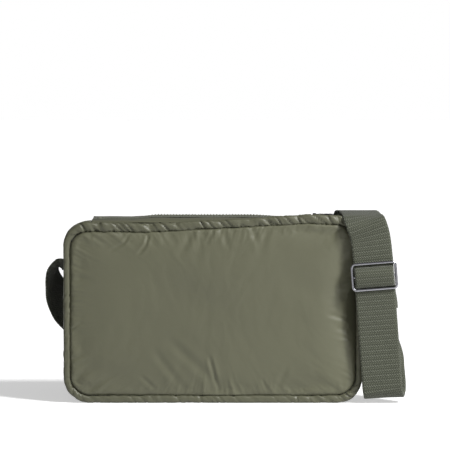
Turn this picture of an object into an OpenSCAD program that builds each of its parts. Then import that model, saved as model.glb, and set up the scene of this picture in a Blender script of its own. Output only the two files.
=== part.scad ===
// Padded crossbody purse with a zipped top and an adjustable webbing strap.
// Millimetres. The origin is the middle of the flat base, +X runs along the
// bag to the adjuster's side, -Y is the front and +Z is up.

/* [Bag] */
// Width of the bag
bag_w = 240; // [230:1:244]
// Height of the bag to the top of its welts
bag_h = 150; // [146:1:154]
// Depth of the bag over the two padded panels
bag_d = 70; // [66:1:72]
// Radius of the bag's corners, seen from the front
corner_r = 21; // [16:1:24]

/* [Walls] */
// Thickness of the quilted outer nylon
shell_t = 0.8; // [0.6:0.1:1.2]
// Thickness of the wadding in the front and back panels
panel_wadding_t = 5.4; // [4:0.2:6]
// Thickness of the wadding in the gusset
gusset_wadding_t = 2.4; // [1.6:0.2:3]
// Thickness of the lining
lining_t = 0.6; // [0.4:0.1:0.8]
// Width of the padded welt round each panel
welt_w = 4.6; // [4:0.2:6]
// Depth of the padded welt, front to back
welt_d = 4; // [3:0.5:5]

/* [Zip] */
// Half the length of the mouth
mouth_half = 97.4; // [90:0.2:98]
// Thickness of each folded facing beside the zip
facing_t = 1.6; // [1.2:0.2:2.4]
// Distance from the middle of the zip to the edge of each facing
facing_gap = 8.5; // [7.5:0.5:10]
// Spacing of the teeth along the zip
tooth_pitch = 2.5; // [2:0.1:3]
// Where the closed slider stands, right of the middle
slider_x = 78; // [60:1:80]

/* [Strap] */
// Width of the strap's webbing
strap_w = 32; // [30:0.5:33]
// Thickness of the webbing
strap_t = 1.6; // [1.2:0.1:1.8]
// Lean of the hanging front leg, in degrees from upright
leg_lean = 4.4; // [3:0.1:6]
// Height of the middle of the adjuster above the base
adjuster_z = 103; // [95:1:110]

/* [Metalwork] */
// Width of the adjuster's frame
adjuster_w = 37; // [36.5:0.5:38]
// Height of the adjuster's frame
adjuster_h = 23; // [21:0.5:25]
// Thickness of the adjuster's wire
wire_d = 2.2; // [2:0.1:2.6]
// Distance between the two bars of the side ring
ring_h = 10; // [9:0.5:12]

/* [Hidden] */
$fn = 48;

olive = [0.30, 0.30, 0.22];
dark_olive = [0.22, 0.23, 0.17];
lining_green = [0.36, 0.37, 0.29];
wadding_white = [0.85, 0.85, 0.82];
steel = [0.62, 0.62, 0.64];

// Depth of each layer, measured from the middle of the bag towards a face
panel_face = bag_d / 2;
panel_wadding_face = panel_face - shell_t;
panel_lining_face = panel_wadding_face - panel_wadding_t;
panel_inside = panel_lining_face - lining_t;
welt_face = panel_face - 0.5;
gusset_edge = welt_face - welt_d;
panel_inset = welt_w + 0.2;
wadding_inset = shell_t;
lining_inset = wadding_inset + gusset_wadding_t;
gusset_inside = lining_inset + lining_t;
binding_w = 4;
binding_t = 1.2;
mouth_end = mouth_half + 0.6;

slider_l = 12;
// Zip: the facings turn about the rolled edges beside the welts
roll_r = facing_t / 2;
facing_z = bag_h - 4.8;
hinge_y = gusset_edge - 0.3 - roll_r;
facing_top = facing_z + roll_r;
mouth_low = facing_z - roll_r - 0.3;
tape_t = 0.5;
tape_w = 11.5;
tape_edge = 1.5;
tape_z = facing_top;
tooth_low = tape_z - 0.8;
tooth_high = tape_z + tape_t + 0.9;
tooth_w = tooth_pitch / 2 - 0.15;
tooth_reach = 1.1;
chain_left = -90;
post_l = 3;
chain_right = slider_x + slider_l / 2 - post_l - 0.3;
stop_l = 3;

// Slider: two plates, a post between them and a bridge for the pull
slider_w = 9.2;
plate_t = 0.8;
flange_w = 1.2;
slider_gap = 0.3;
slider_low = tooth_low - slider_gap - plate_t;
slider_high = tooth_high + slider_gap;
pull_x = slider_x + 4;
pull_t = 1;
pull_l = 16;
pull_w = 6;
pull_pin_r = 0.5;
eye_r = pull_pin_r + 0.55;
pull_z = slider_high + plate_t + eye_r + 0.15;
bridge_w = 2.4;

// Strap: upright stretch at the front and the folded length behind the bag
layer = strap_t + 0.4;
leg_x = 125.2;
leg_y = -40.6;
leg_top = 150;
turn_r = 8;
turn_z = turn_r + 5;
turn_y = leg_y + turn_r;
hank_y = 58;
hank_h = 9;
hank_left = -60;
hank_right = 84;
steps = 3;
function leg_at(z) = leg_x + (leg_top - z) * tan(leg_lean);

// Side ring and its tab
bar_r = wire_d / 2;
ring_x = bag_w / 2 + 7;
ring_z = 101;
ring_w = strap_w + 8;
tab_t = 1.4;
tab_clear = 0.1;
wrap_r = bar_r + 0.1 + strap_t / 2;
ring_low = ring_z - ring_h;
strap_lift = ring_low - 8;
wrap_low = strap_lift + 1.6;

// Route of the strap from its sewn end on the left, down to the folded length
LEFT_ROUTE = [
    [-121.2, 0, 108.6], [-124.6, 0, 109], [-128.4, 0.5, 106], [-130.8, 4, 99.5], [-130.6, 12, 90],
    [-127, 25, 80], [-121.5, 39, 69], [-110, 50, 56], [-96, 54, 40], [-80, 57, 24],
    [-70, 58, 13], [hank_left - 4, 58, hank_h - 0.6], [hank_left, 58, hank_h - layer / 2]
];
LEFT_SIDES = [
    [0, 0.94, -0.34], [0, 0.94, -0.34], [0.08, 0.96, -0.25], [0.17, 0.98, 0], [0.3, 0.92, 0.22],
    [0.4, 0.75, 0.5], [0.4, 0.6, 0.68], [0.3, 0.55, 0.78], [0.1, 0.7, 0.7], [0, 0.88, 0.45],
    [0, 1, 0.12], [0, 1, 0], [0, 1, 0]
];
// Route from the folded length, up behind the bag, over it and down its front
RISER_ROUTE = [
    [84, 58, 0.8], [94, 58, 0.8], [103, 58, 2.2], [110, 58, 7.5], [112.5, 58, 16],
    [113, 57, 28], [113, 55, 44], [113, 51.5, 62], [113, 47, 82], [113, 43, 104], [113, 41, 126]
];
RISER_SIDES = [
    [0, 1, 0], [0, 1, 0], [0, 1, 0], [0, 1, 0], [0.1, 0.99, 0], [0.26, 0.97, 0],
    [0.48, 0.88, 0], [0.7, 0.71, 0], [0.88, 0.47, 0], [0.98, 0.2, 0], [1, 0.04, 0]
];
TOP_ROUTE = [
    [113.5, 40.8, 140], [114.4, 40, 145.5], [115.8, 37, 149.8], [117, 31, 151.8],
    [117.6, 14, 152.2], [118, -14, 152.2], [119, -32, 151.8], [120.4, -37.6, 149.8],
    [122.6, leg_y, 145]
];
TOP_SIDES = [for (p = TOP_ROUTE) [1, 0, p.y < -36 ? tan(leg_lean) : 0]];
FRONT_ROUTE = concat(
    [[125.6, leg_y, 134]],
    [for (z = [118, 100, 68, 40, 22]) [leg_at(z), leg_y, z]],
    [for (a = [0:30:180]) [
        leg_at(turn_z) + a * 0.02, turn_y - turn_r * cos(a), turn_z - turn_r * sin(a)
    ]]
);
FRONT_SIDES = [for (p = FRONT_ROUTE) [1, 0, p.z > turn_z ? tan(leg_lean) : 0.05]];
BACK_ROUTE = [
    [139.5, -22.5, 26], [140, -18, 38], [139, -12, 50], [135, -6, 61], [129, -1.5, 70],
    [ring_x - wrap_r, 0, strap_lift - 6], [ring_x - wrap_r, 0, strap_lift]
];
BACK_SIDES = [
    [0.98, 0.2, 0], [0.88, 0.48, 0], [0.66, 0.75, 0], [0.38, 0.92, 0], [0.1, 0.99, 0], [0, 1, 0],
    [0, 1, 0]
];
back_last = len(BACK_ROUTE) - 1;
// Route of the inner layer, from the side ring back to the adjuster
function under_back(i) = let (
    along = unit(BACK_ROUTE[min(i + 1, back_last)] - BACK_ROUTE[max(i - 1, 0)]),
    gap = i > back_last - 2 ? 2 * wrap_r : layer + 0.6
) BACK_ROUTE[i] - gap * cross(along, unit(BACK_SIDES[i]));
RETURN_ROUTE = concat(
    [for (i = [back_last:-1:0]) under_back(i)],
    [for (a = [180:-30:0]) [
        leg_at(turn_z) + a * 0.02, turn_y - (turn_r - layer) * cos(a),
        turn_z - (turn_r - layer) * sin(a)
    ]],
    [[leg_at(24), leg_y + layer, 24], [leg_at(46), leg_y + layer, 46],
     [leg_at(62), leg_y + layer, 62], [leg_at(72), leg_y + 2 * layer, 72],
     [leg_at(86), leg_y + 2 * layer, 86], [leg_at(100), leg_y + 2 * layer, 100]]
);
RETURN_SIDES = concat(
    [for (i = [back_last:-1:0]) BACK_SIDES[i]],
    [for (a = [180:-30:0]) [1, 0, 0.05]],
    [for (i = [0:5]) [1, 0, tan(leg_lean)]]
);
MAIN_ROUTE = concat(RISER_ROUTE, TOP_ROUTE, FRONT_ROUTE, BACK_ROUTE);
MAIN_SIDES = concat(RISER_SIDES, TOP_SIDES, FRONT_SIDES, BACK_SIDES);
riser_end = len(RISER_ROUTE) * steps;
top_end = (len(RISER_ROUTE) + len(TOP_ROUTE)) * steps;
front_end = (len(RISER_ROUTE) + len(TOP_ROUTE) + len(FRONT_ROUTE) - 1) * steps;
main_end = (len(MAIN_ROUTE) - 1) * steps;

// Unit vector along v
function unit(v) = v / norm(v);

// Point at t, from 0 to 1, on the smooth curve between points i and i + 1
function curve_point(p, i, t) = let (
    a = p[max(i - 1, 0)],
    b = p[i],
    c = p[i + 1],
    d = p[min(i + 2, len(p) - 1)]
) 0.5 * (2 * b + (c - a) * t + (2 * a - 5 * b + 4 * c - d) * t * t
    + (3 * b - a - 3 * c + d) * t * t * t);

// The whole curve through the points of p
function smooth_route(p) = concat(
    [for (i = [0:len(p) - 2]) for (s = [0:steps - 1]) curve_point(p, i, s / steps)],
    [p[len(p) - 1]]
);

// Four corners of the webbing at ring i of a smooth route
function webbing_ring(route, sides, i) = let (
    along = unit(route[min(i + 1, len(route) - 1)] - route[max(i - 1, 0)]),
    side = unit(sides[i] - (sides[i] * along) * along) * strap_w / 2,
    face = cross(along, unit(side)) * strap_t / 2
) [
    route[i] - side - face, route[i] + side - face,
    route[i] + side + face, route[i] - side + face
];

// Webbing along the smooth route, from ring first to ring last
module webbing(route, sides, first, last) {
    corners = [for (i = [first:last]) each webbing_ring(route, sides, i)];
    count = last - first;
    walls = [
        for (i = [0:count - 1]) for (k = [0:3]) let (
            a = 4 * i + k,
            b = 4 * i + (k + 1) % 4
        ) each [[a, b, b + 4], [a, b + 4, a + 4]]
    ];
    caps = [[3, 2, 1, 0], [for (k = [0:3]) 4 * count + k]];
    polyhedron(corners, concat(walls, caps));
}

// Outline of the bag, moved in by inset
module outline(inset) {
    w = bag_w - 2 * inset;
    h = bag_h - 2 * inset;
    r = corner_r - inset;
    translate([0, bag_h / 2]) {
        square([w - 2 * r, h], center = true);
        square([w, h - 2 * r], center = true);
        for (x = [-1, 1]) for (z = [-1, 1])
            translate([x * (w / 2 - r), z * (h / 2 - r)]) circle(r);
    }
}

// What is drawn in the front view, made solid from low_y to high_y
module from_front(low_y, high_y) {
    translate([0, high_y, 0]) rotate([90, 0, 0]) linear_extrude(high_y - low_y) children();
}

// A plate of the bag's outline on the front side, between two depths
module panel_layer(outer, inner) {
    from_front(-outer, -inner) outline(panel_inset);
}

// A band round the bag between two insets, between two depths
module band(outer_inset, inner_inset, low_y, high_y) {
    from_front(low_y, high_y) difference() {
        outline(outer_inset);
        outline(inner_inset);
    }
}

// What it is given, open along the mouth from low_z up, between the two welts
module open_mouth(low_z) {
    difference() {
        children();
        translate([-mouth_end, -gusset_edge - 0.1, low_z])
            cube([2 * mouth_end, 2 * gusset_edge + 0.2, corner_r]);
    }
}

// A layer of the gusset, open along the mouth
module gusset_layer(outer_inset, inner_inset) {
    open_mouth(bag_h - corner_r / 2) band(outer_inset, inner_inset, -gusset_edge, gusset_edge);
}

// The same thing on the back of the bag
module at_back() {
    mirror([0, 1, 0]) children();
}

module front_panel() { color(olive) panel_layer(panel_face, panel_wadding_face); }
module panel_wadding() { open_mouth(mouth_low) panel_layer(panel_wadding_face, panel_lining_face); }
module panel_lining() { open_mouth(mouth_low) panel_layer(panel_lining_face, panel_inside); }
module front_wadding() { color(wadding_white) panel_wadding(); }
module front_lining() { color(lining_green) panel_lining(); }
module back_panel() { color(olive) at_back() panel_layer(panel_face, panel_wadding_face); }
module back_wadding() { color(wadding_white) at_back() panel_wadding(); }
module back_lining() { color(lining_green) at_back() panel_lining(); }
module gusset() { color(olive) gusset_layer(0, wadding_inset); }
module gusset_wadding() { color(wadding_white) gusset_layer(wadding_inset, lining_inset); }
module gusset_lining() { color(lining_green) gusset_layer(lining_inset, gusset_inside); }

// Puffed welt over the seam between a panel and the gusset
module welt() {
    band(0, welt_w, -welt_face, -gusset_edge);
}
module front_welt() { color(olive) welt(); }
module back_welt() { color(olive) at_back() welt(); }

// Woven tape that binds the raw edges of the seam inside the bag
module binding() {
    open_mouth(mouth_low)
        band(gusset_inside, gusset_inside + binding_w, -panel_inside, binding_t - panel_inside);
}
module front_binding() { color(dark_olive) binding(); }
module back_binding() { color(dark_olive) at_back() binding(); }

// Folded strip of nylon between the welt and the zip tape
module facing() {
    translate([0, -hinge_y, facing_z]) rotate([0, 90, 0])
        cylinder(r = roll_r, h = 2 * mouth_half, center = true);
    translate([-mouth_half, -hinge_y, facing_z - roll_r])
        cube([2 * mouth_half, hinge_y - facing_gap, facing_t]);
}
module front_facing() { color(olive) facing(); }
module back_facing() { color(olive) at_back() facing(); }

// Woven tape of the zip, sewn on top of the facing
module zip_tape() {
    translate([-mouth_half, -tape_edge - tape_w, tape_z]) cube([2 * mouth_half, tape_w, tape_t]);
}
module front_zip_tape() { color(dark_olive) zip_tape(); }
module back_zip_tape() { color(dark_olive) at_back() zip_tape(); }

// Row of moulded teeth along the edge of one tape
module zip_teeth(start) {
    for (x = [start:tooth_pitch:chain_right - tooth_w])
        translate([x, -tape_edge, tooth_low])
            cube([tooth_w, tape_edge + tooth_reach, tooth_high - tooth_low]);
}
module front_zip_teeth() { color(dark_olive) zip_teeth(chain_left); }
module back_zip_teeth() { color(dark_olive) at_back() zip_teeth(chain_left + tooth_pitch / 2); }

// Block that joins the two rows at their left end
module zip_bottom_stop() {
    color(dark_olive) translate([chain_left - stop_l - 0.3, -tape_edge, tooth_low])
        cube([stop_l, 2 * tape_edge, tooth_high - tooth_low]);
}

// Pair of stops that the closed slider comes up against
module zip_top_stops() {
    color(dark_olive) for (side = [-1, 1])
        translate([slider_x + slider_l / 2 + 0.3, side * tape_edge / 2, tooth_low])
            translate([0, -tape_edge / 2 + 0.1, 0])
                cube([stop_l, tape_edge - 0.2, tooth_high - tooth_low]);
}

// Nylon tab sewn across an end of the zip, under the tape
module zip_tab(side) {
    translate([side * (mouth_half - 3.2) - 3, -facing_gap + 0.3, facing_z - roll_r])
        cube([6, 2 * facing_gap - 0.6, facing_t - 1]);
}
module left_zip_tab() { color(olive) zip_tab(-1); }
module right_zip_tab() { color(olive) zip_tab(1); }

// Slider with slots for the tapes and a bridge over its top plate
module zip_slider() {
    color(steel) {
        for (z = [slider_low, slider_high])
            translate([slider_x - slider_l / 2, -slider_w / 2, z])
                cube([slider_l, slider_w, plate_t]);
        for (side = [-1, 1]) {
            y = side > 0 ? slider_w / 2 - flange_w : -slider_w / 2;
            translate([slider_x - slider_l / 2, y, slider_low + plate_t / 2])
                cube([slider_l, flange_w, tape_z - slider_gap - slider_low - plate_t / 2]);
            translate([slider_x - slider_l / 2, y, tape_z + tape_t + slider_gap])
                cube([slider_l, flange_w, slider_high - tape_z - tape_t - slider_gap + plate_t / 2]);
        }
        translate([slider_x + slider_l / 2 - post_l, -0.6, slider_low + plate_t / 2])
            cube([post_l - 0.2, 1.2, slider_high - slider_low]);
        for (side = [-1, 1])
            translate([pull_x - 1, side * (bridge_w / 2 + 0.6) - 0.5, slider_high + plate_t / 2])
                cube([2, 1, pull_z - slider_high - plate_t / 2 + pull_t]);
        translate([pull_x, 0, pull_z]) rotate([90, 0, 0])
            cylinder(r = pull_pin_r, h = bridge_w + 2, center = true);
    }
}

// Flat pull with a rolled eye round the slider's pin
module zip_pull() {
    color(steel) difference() {
        union() {
            translate([pull_x, 0, pull_z]) rotate([90, 0, 0])
                cylinder(r = eye_r, h = bridge_w - 0.4, center = true);
            translate([pull_x, -(bridge_w - 0.4) / 2, pull_z - pull_t / 2])
                cube([4, bridge_w - 0.4, pull_t]);
            translate([pull_x + 3, -pull_w / 2, pull_z - pull_t / 2])
                cube([pull_l - 3, pull_w, pull_t]);
        }
        translate([pull_x, 0, pull_z]) rotate([90, 0, 0])
            cylinder(r = pull_pin_r + 0.05, h = bridge_w + 2, center = true);
    }
}

// Webbing tab sewn to the right side, with a loop for the ring's upper bar
module ring_tab() {
    color(dark_olive) difference() {
        union() {
            translate([ring_x, 0, ring_z]) rotate([90, 0, 0])
                cylinder(r = bar_r + tab_clear + tab_t, h = strap_w, center = true);
            translate([bag_w / 2, -strap_w / 2, ring_z + bar_r + tab_clear - tab_t])
                cube([ring_x - bag_w / 2, strap_w, 2 * tab_t]);
            translate([bag_w / 2, -strap_w / 2, ring_z - 12]) cube([tab_t, strap_w, 24]);
        }
        translate([ring_x, 0, ring_z]) rotate([90, 0, 0])
            cylinder(r = bar_r + tab_clear, h = strap_w + 2, center = true);
    }
}

// Rectangular wire ring that hangs in the tab and holds the strap
module side_ring() {
    color(steel) {
        for (z = [ring_z, ring_low])
            translate([ring_x, 0, z]) rotate([90, 0, 0])
                cylinder(r = bar_r, h = ring_w - wire_d / 2, center = true);
        for (side = [-1, 1])
            translate([ring_x - bar_r, side * (ring_w - wire_d) / 2 - bar_r, ring_low - bar_r])
                cube([wire_d, wire_d, ring_h + wire_d]);
    }
}

// Turn of the strap over the ring's lower bar
module ring_wrap() {
    route = concat(
        [[ring_x - wrap_r, 0, wrap_low]],
        [for (a = [180:-22.5:0]) [ring_x + wrap_r * cos(a), 0, ring_low + wrap_r * sin(a)]],
        [[ring_x + wrap_r, 0, wrap_low]]
    );
    sides = [for (p = route) [0, 1, 0]];
    color(dark_olive) webbing(route, sides, 0, len(route) - 1);
}

// Strap from its seam on the left side to the folded length
module strap_left() {
    route = smooth_route(LEFT_ROUTE);
    color(dark_olive) webbing(route, smooth_route(LEFT_SIDES), 0, len(route) - 1);
}

// Length of the strap folded in three behind the bag, as one block with round ends
module strap_hank() {
    color(dark_olive) from_front(hank_y - strap_w / 2, hank_y + strap_w / 2) {
        translate([hank_left, 0]) square([hank_right - hank_left, hank_h - 0.1]);
        for (x = [hank_left, hank_right])
            translate([x, (hank_h - 0.1) / 2]) circle((hank_h - 0.1) / 2);
    }
}

// A stretch of the strap's main layer, between two of its rings
module main_strap(first, last) {
    color(dark_olive) webbing(smooth_route(MAIN_ROUTE), smooth_route(MAIN_SIDES), first, last);
}
module strap_riser() { main_strap(1, riser_end); }
module strap_top() { main_strap(riser_end, top_end); }
module strap_front() { main_strap(top_end, front_end); }
module strap_back() { main_strap(front_end, main_end); }

// Inner layer, from the side ring round the bottom and up behind the adjuster
module strap_return() {
    route = smooth_route(RETURN_ROUTE);
    color(dark_olive) webbing(route, smooth_route(RETURN_SIDES), 0, len(route) - 1);
}

// Places what it is given in the plane of the front leg, at the adjuster
module at_adjuster(depth) {
    translate([leg_at(adjuster_z), leg_y - depth, adjuster_z]) rotate([0, -leg_lean, 0]) children();
}

// Sewn end of the strap, doubled back between the two layers
module strap_end() {
    color(dark_olive) at_adjuster(-layer)
        translate([1.4 - strap_w / 2, -strap_t / 2, -30]) cube([strap_w, strap_t, 28]);
}

// Rectangular frame of the adjuster
frame_depth = strap_t / 2 + 0.4 + wire_d / 2;
module adjuster_frame() {
    color(steel) at_adjuster(frame_depth)
        translate([0, wire_d / 2, 0]) rotate([90, 0, 0]) linear_extrude(wire_d) difference() {
            rounded_rectangle(adjuster_w, adjuster_h, 3);
            rounded_rectangle(adjuster_w - 2 * wire_d, adjuster_h - 2 * wire_d, 1);
        }
}

module rounded_rectangle(w, h, r) {
    square([w - 2 * r, h], center = true);
    square([w, h - 2 * r], center = true);
    for (x = [-1, 1]) for (y = [-1, 1])
        translate([x * (w / 2 - r), y * (h / 2 - r)]) circle(r);
}

// Centre bar of the adjuster, between the sides of the frame
module adjuster_bar() {
    color(steel) at_adjuster(frame_depth)
        rotate([0, 90, 0]) cylinder(r = bar_r - 0.1, h = adjuster_w - 2 * wire_d, center = true);
}

// The strap's turn over the centre bar, between the frame's two long sides
module adjuster_weave() {
    rise = bar_r + 0.2 + strap_t / 2;
    half = adjuster_h / 2 - wire_d - strap_t / 2 - 0.3;
    route = [
        for (t = [-1:0.25:1]) [0, -rise * pow(cos(90 * t), 0.8) - 0.05, half * t]
    ];
    sides = [for (p = route) [1, 0, 0]];
    color(dark_olive) at_adjuster(frame_depth)
        intersection() {
            webbing(route, sides, 0, len(route) - 1);
            cube([adjuster_w - 2 * wire_d - 0.4, 20, 30], center = true);
        }
}

front_panel();
front_wadding();
front_lining();
back_panel();
back_wadding();
back_lining();
gusset();
gusset_wadding();
gusset_lining();
front_welt();
back_welt();
front_binding();
back_binding();
front_facing();
back_facing();
front_zip_tape();
back_zip_tape();
front_zip_teeth();
back_zip_teeth();
zip_bottom_stop();
zip_top_stops();
left_zip_tab();
right_zip_tab();
zip_slider();
zip_pull();
ring_tab();
side_ring();
ring_wrap();
strap_left();
strap_hank();
strap_riser();
strap_top();
strap_front();
strap_back();
strap_return();
strap_end();
adjuster_frame();
adjuster_bar();
adjuster_weave();
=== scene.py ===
# %% [markdown]
# # A padded crossbody purse
# This lesson dresses a small box-shaped purse. Its structure is already there as a
# fixed frame: every wall, zip part and stretch of strap has its place and size. The
# cells below make the cloth, webbing and metal that are seen, each in its own place.

# %% Load the frame
import math
import random

import bmesh
import bpy
import numpy as np
from mathutils import Matrix, Vector, noise


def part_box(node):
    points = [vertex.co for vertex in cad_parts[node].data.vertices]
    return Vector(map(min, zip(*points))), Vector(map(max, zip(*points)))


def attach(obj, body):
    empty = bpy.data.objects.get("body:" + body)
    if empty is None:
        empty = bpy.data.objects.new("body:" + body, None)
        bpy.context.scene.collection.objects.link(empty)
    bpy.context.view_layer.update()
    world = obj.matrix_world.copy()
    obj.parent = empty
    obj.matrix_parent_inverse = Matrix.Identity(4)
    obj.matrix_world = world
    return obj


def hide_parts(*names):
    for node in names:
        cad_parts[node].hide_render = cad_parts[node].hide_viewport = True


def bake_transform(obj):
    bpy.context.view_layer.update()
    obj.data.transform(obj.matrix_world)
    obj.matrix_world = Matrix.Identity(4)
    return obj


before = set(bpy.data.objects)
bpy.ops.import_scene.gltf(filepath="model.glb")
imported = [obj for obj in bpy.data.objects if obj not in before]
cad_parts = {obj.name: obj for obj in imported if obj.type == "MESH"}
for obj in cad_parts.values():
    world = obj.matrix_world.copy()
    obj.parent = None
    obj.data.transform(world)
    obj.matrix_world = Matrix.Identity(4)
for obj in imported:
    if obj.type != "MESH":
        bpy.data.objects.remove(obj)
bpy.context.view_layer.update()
MM = 0.001
scene = bpy.context.scene

# %% [markdown]
# The sizes of the bag come from the frame. The front view of the bag is a rectangle
# with round corners, and nearly every sewn line follows it at some distance inwards.
# So one function gives the point and the outward direction at any place round it.

# %% Sizes and the outline of the bag
gusset_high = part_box("gusset")[1]
back_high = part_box("back_panel")[1]
HALF_W = gusset_high.x
HALF_H = gusset_high.z / 2
SEAM_Y = gusset_high.y
FACE_Y = back_high.y
CORNER = 21 * MM
CORE_W, CORE_H = HALF_W - CORNER, HALF_H - CORNER
ARC = math.pi * CORNER / 2
AROUND = 4 * (CORE_W + CORE_H + ARC)
print(f"bag {2 * HALF_W:.3f} x {2 * FACE_Y:.3f} x {2 * HALF_H:.3f} m, {AROUND:.3f} m round")


def outline(s, inset=0.0):
    """Point and outward direction in x and z, s metres round the bag from the
    middle of its base towards +X, moved in by inset."""
    s = s % AROUND
    stretches = (
        (CORE_W, 0, -CORE_H, 1, 0), (ARC, CORE_W, -CORE_H, 0, -90),
        (2 * CORE_H, CORE_W, -CORE_H, 0, 1), (ARC, CORE_W, CORE_H, 0, 0),
        (2 * CORE_W, CORE_W, CORE_H, -1, 0), (ARC, -CORE_W, CORE_H, 0, 90),
        (2 * CORE_H, -CORE_W, CORE_H, 0, -1), (ARC, -CORE_W, -CORE_H, 0, 180),
        (CORE_W, -CORE_W, -CORE_H, 1, 0),
    )
    for length, x, z, dx, dz in stretches:
        if s <= length:
            break
        s -= length
    if length == ARC:
        angle = math.radians(dz) + s / CORNER
        way = Vector((math.cos(angle), math.sin(angle)))
    else:
        way = Vector((dz, -dx))
        x, z = x + dx * s, z + dz * s
    reach = CORNER - inset
    return Vector((x, z + HALF_H)) + way * reach, way


def ease(a, b, t):
    """0 before a, 1 after b, and smooth between them."""
    t = min(max((t - a) / (b - a), 0), 1)
    return t * t * (3 - 2 * t)


def hump(t, middle, width):
    """1 at the middle, falling away over the width."""
    return math.exp(-((t - middle) / width) ** 2)


def wander(x, y, z):
    """Smooth noise between about -1 and 1."""
    return noise.noise(Vector((x, y, z)))


def signed_power(value, power):
    """The power of the value's size, with the value's sign."""
    return math.copysign(abs(value) ** power, value)


# %% [markdown]
# The camera and the light come first, so that every piece is judged in the same
# view. The bag is seen from the front, from a little above, through a long lens that
# keeps its sides square. The sun and one soft lamp, both from the right, are helped by
# a dim sky, and the floor is white.

# %% Camera, floor and lights
def look_at(obj, place, target):
    obj.location = place
    obj.rotation_euler = (Vector(target) - Vector(place)).to_track_quat("-Z", "Y").to_euler()


def add_lamp(name, place, target, size, power):
    data = bpy.data.lights.new(name, "AREA")
    data.shape = "RECTANGLE"
    data.size, data.size_y = size
    data.energy = power
    lamp = bpy.data.objects.new(name, data)
    scene.collection.objects.link(lamp)
    look_at(lamp, place, target)


CAMERA_RISE = 4.0
CAMERA_FAR = 2.6
VIEW_WIDTH = 0.360
view_middle = Vector((0.0096, -0.035, 0.1435))
camera_data = bpy.data.cameras.new("camera")
camera = bpy.data.objects.new("camera", camera_data)
scene.collection.objects.link(camera)
rise = math.radians(CAMERA_RISE)
look_at(camera, view_middle + CAMERA_FAR * Vector((0, -math.cos(rise), math.sin(rise))), view_middle)
camera_data.sensor_width = 36
camera_data.lens = 36 * CAMERA_FAR / VIEW_WIDTH
camera_data.clip_end = 20
scene.camera = camera

SUN_PLACE, SUN_POWER, SUN_SPREAD = (1.0, -0.78, 1.3), 3.0, math.radians(9)
KEY_PLACE, KEY_SIZE, KEY_POWER = (0.50, -0.44, 0.44), (0.16, 0.2), 3.2
sun_data = bpy.data.lights.new("daylight", "SUN")
sun_data.energy = SUN_POWER
sun_data.angle = SUN_SPREAD
sun = bpy.data.objects.new("daylight", sun_data)
scene.collection.objects.link(sun)
look_at(sun, SUN_PLACE, (0, 0, 0.05))
add_lamp("key", KEY_PLACE, (0.05, 0, 0.07), KEY_SIZE, KEY_POWER)

# The sky is white to look at. As a light it is brighter in front than behind.
world = bpy.data.worlds.new("studio")
world.use_nodes = True
sky = world.node_tree.nodes["Background"]
sky.inputs["Color"].default_value = (1, 1, 1, 1)


def sky_node(kind, values=(), **links):
    made = world.node_tree.nodes.new("ShaderNode" + kind)
    for key, value in values:
        made.inputs[key].default_value = value
    for key, output in links.items():
        world.node_tree.links.new(output, made.inputs[key.replace("_", " ")])
    return made


SKY_BRIGHT_WAY = (0.35, -0.85, -0.35)
SKY_RANGE = [("From Min", -0.5), ("From Max", 0.9), ("To Min", 0.02), ("To Max", 0.41)]
sky_way = sky_node("TexCoord").outputs["Generated"]
front = sky_node("VectorMath", [(1, SKY_BRIGHT_WAY)])
front.operation = "DOT_PRODUCT"
world.node_tree.links.new(sky_way, front.inputs[0])
glow = sky_node("MapRange", SKY_RANGE, Value=front.outputs["Value"]).outputs["Result"]
seen = sky_node("LightPath").outputs["Is Camera Ray"]
level = sky_node("MapRange", [("To Max", 1.0)], Value=seen, To_Min=glow).outputs["Result"]
world.node_tree.links.new(level, sky.inputs["Strength"])
scene.world = world
scene.view_settings.view_transform = "Standard"

floor_mesh = bmesh.new()
bmesh.ops.create_grid(floor_mesh, x_segments=1, y_segments=1, size=6)
floor = bpy.data.objects.new("floor", bpy.data.meshes.new("floor"))
floor_mesh.to_mesh(floor.data)
floor_mesh.free()
scene.collection.objects.link(floor)

# %% [markdown]
# ## Finishes
# Each finish is a small set of nodes. A helper adds nodes and links in one line, so a
# finish reads as a recipe: colour that varies a little, a roughness, and a bump that
# has the scale of the real weave. Numbers that are the same all over the surface are
# set on the shader itself.

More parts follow.
